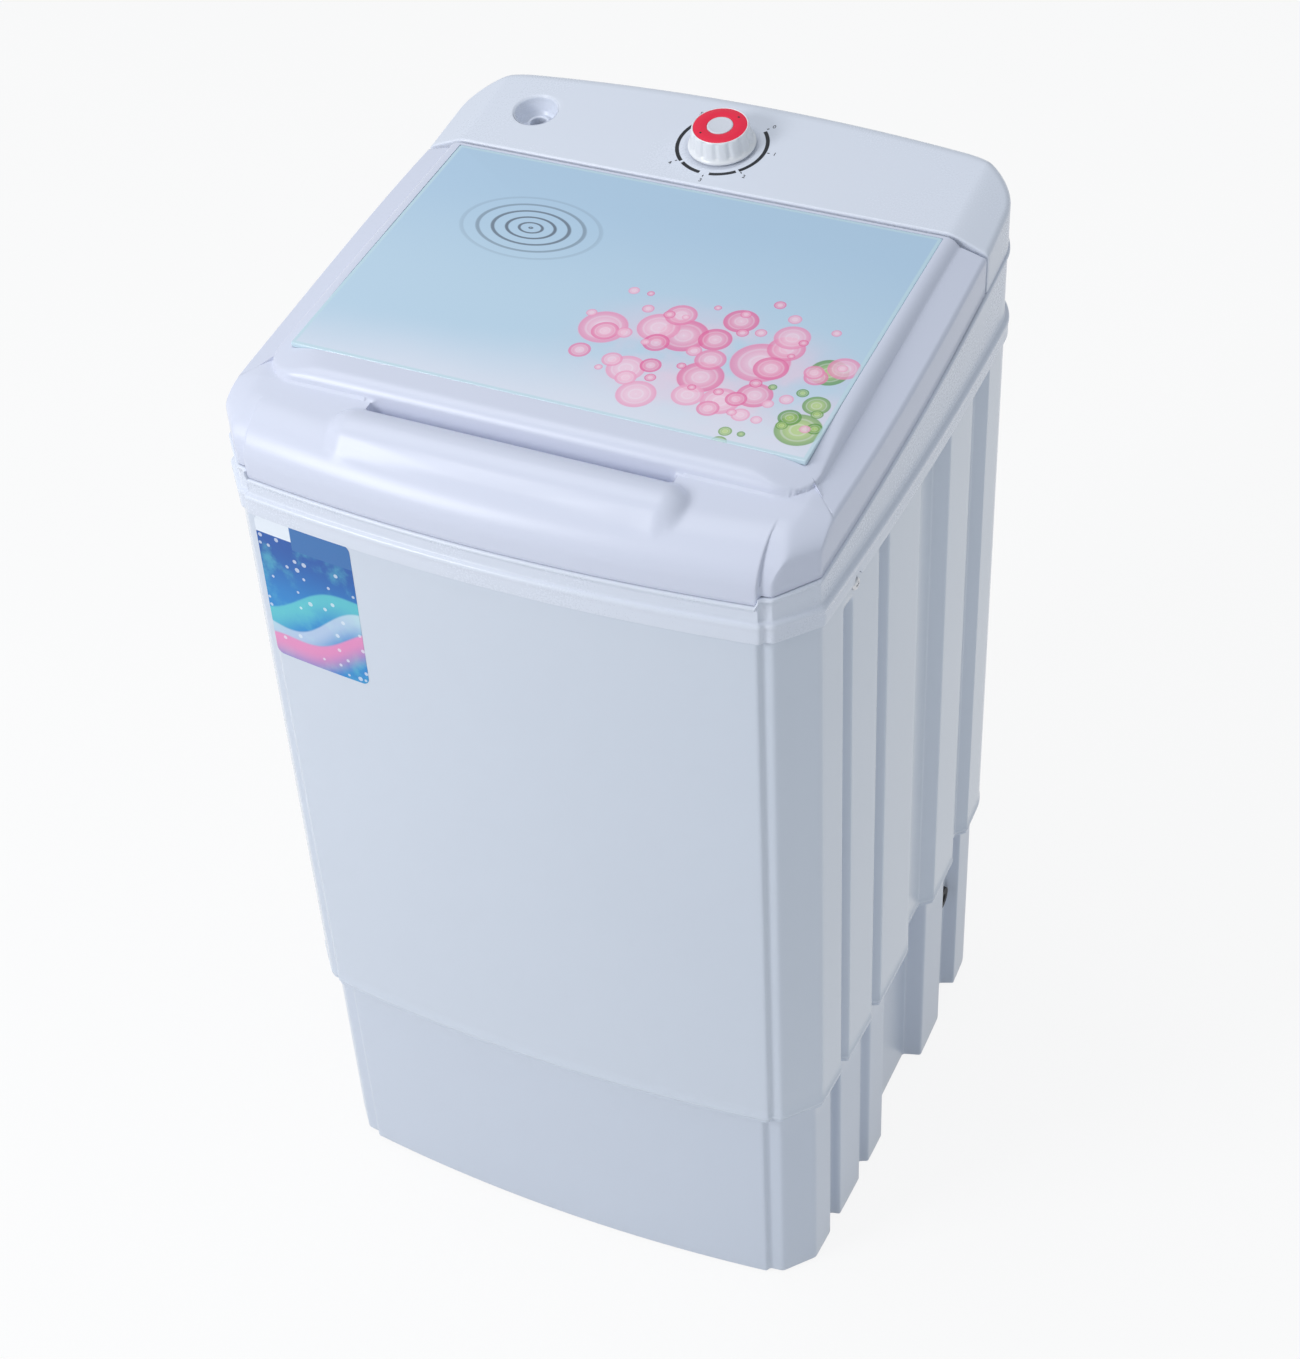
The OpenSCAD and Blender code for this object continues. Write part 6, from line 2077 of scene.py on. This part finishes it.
    def top(self) -> None:
        """The lid with its glass, the panel, and the knob with its scale."""
        self.place(self.lid.frame(), Kind.LID, "lid", "lid_frame")
        for piece in self.lid.ribs():
            self.place(piece, Kind.LID, "lid")
        self.place(Glass(self.lid).plate(), Kind.GLASS, "lid", "lid_glass")
        self.place(self.panel.shell(), Kind.DECK, "machine", "control_panel")
        self.place(self.panel.cup(), Kind.DECK, "machine", "inlet_funnel")
        knob = Knob(self.panel)
        self.place(knob.body(), Kind.WHITE, "knob", "timer_knob")
        self.place(knob.ring(), Kind.RED, "knob", "knob_ring")
        self.place(knob.middle(), Kind.BUTTON, "knob", "knob_centre")
        self.place(knob.dots(), Kind.INK, "knob")
        for piece in knob.dial():
            self.place(piece, Kind.INK, "machine")

    def inside(self) -> None:
        """Dresses the carried-over parts and rounds their edges."""
        parts: dict[Kind, dict[str, float]] = {
            Kind.WHITE: {"timer_case": 0.8, "lid_liner": 0.4, "lid_striker": 0.5,
                         "balance_ring": 1.5, "press_plate": 0.8},
            Kind.BLACK: {"switch_case": 0.6},
            Kind.RED: {"switch_lever": 0.4},
            Kind.GREY: {"drain_pipe": 0.3, "basket_hub": 0.6},
            Kind.TUB: {"outer_tub": 0.5},
            Kind.BASKET: {"basket": 0.35},
            Kind.RUBBER: {"feet": 0.8, "tub_seal": 0.4, "spring_cups": 0.5, "spring_caps": 0.5,
                          "cord_gland": 0.4},
            Kind.ZINC: {"hinge_pins": 0.3, "timer_shaft": 0.3, "seal_clamp": 0.3,
                        "drive_shaft": 0.4, "brake_arm": 0.3, "brake_pivot": 0.3,
                        "upper_bearing": 0.4, "lower_bearing": 0.4, "motor_bolts": 0.3,
                        "motor_plate": 0.3, "capacitor_clip": 0.2, "base_screws": 0.3},
            Kind.STEEL: {"springs": 0.0},
            Kind.SHEETS: {"stator_core": 0.2, "rotor": 0.2},
            Kind.WIRE: {"stator_winding": 1.5},
            Kind.CAST: {"motor_upper_bell": 0.6, "motor_lower_bell": 0.6},
            Kind.IRON: {"brake_drum": 0.5},
            Kind.LINING: {"brake_pad": 0.3},
            Kind.CAN: {"capacitor": 0.8},
        }
        for kind, nodes in parts.items():
            for name, edge in nodes.items():
                obj = self.frame["nodes"][name]
                self.wear(obj, kind)
                if edge:
                    soften(obj, edge)
                LOG.info("%s dressed as %s", name, kind.value)

    def build(self) -> None:
        """Builds and dresses everything in order."""
        self.make_finishes()
        self.shells()
        self.top()
        self.inside()


def main() -> None:
    """Builds the set and the machine."""
    logging.basicConfig(level=logging.INFO, format="%(name)s: %(message)s")
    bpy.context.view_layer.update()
    Studio().build()
    Machine(FRAME).build()


if __name__ == "__main__":
    main()
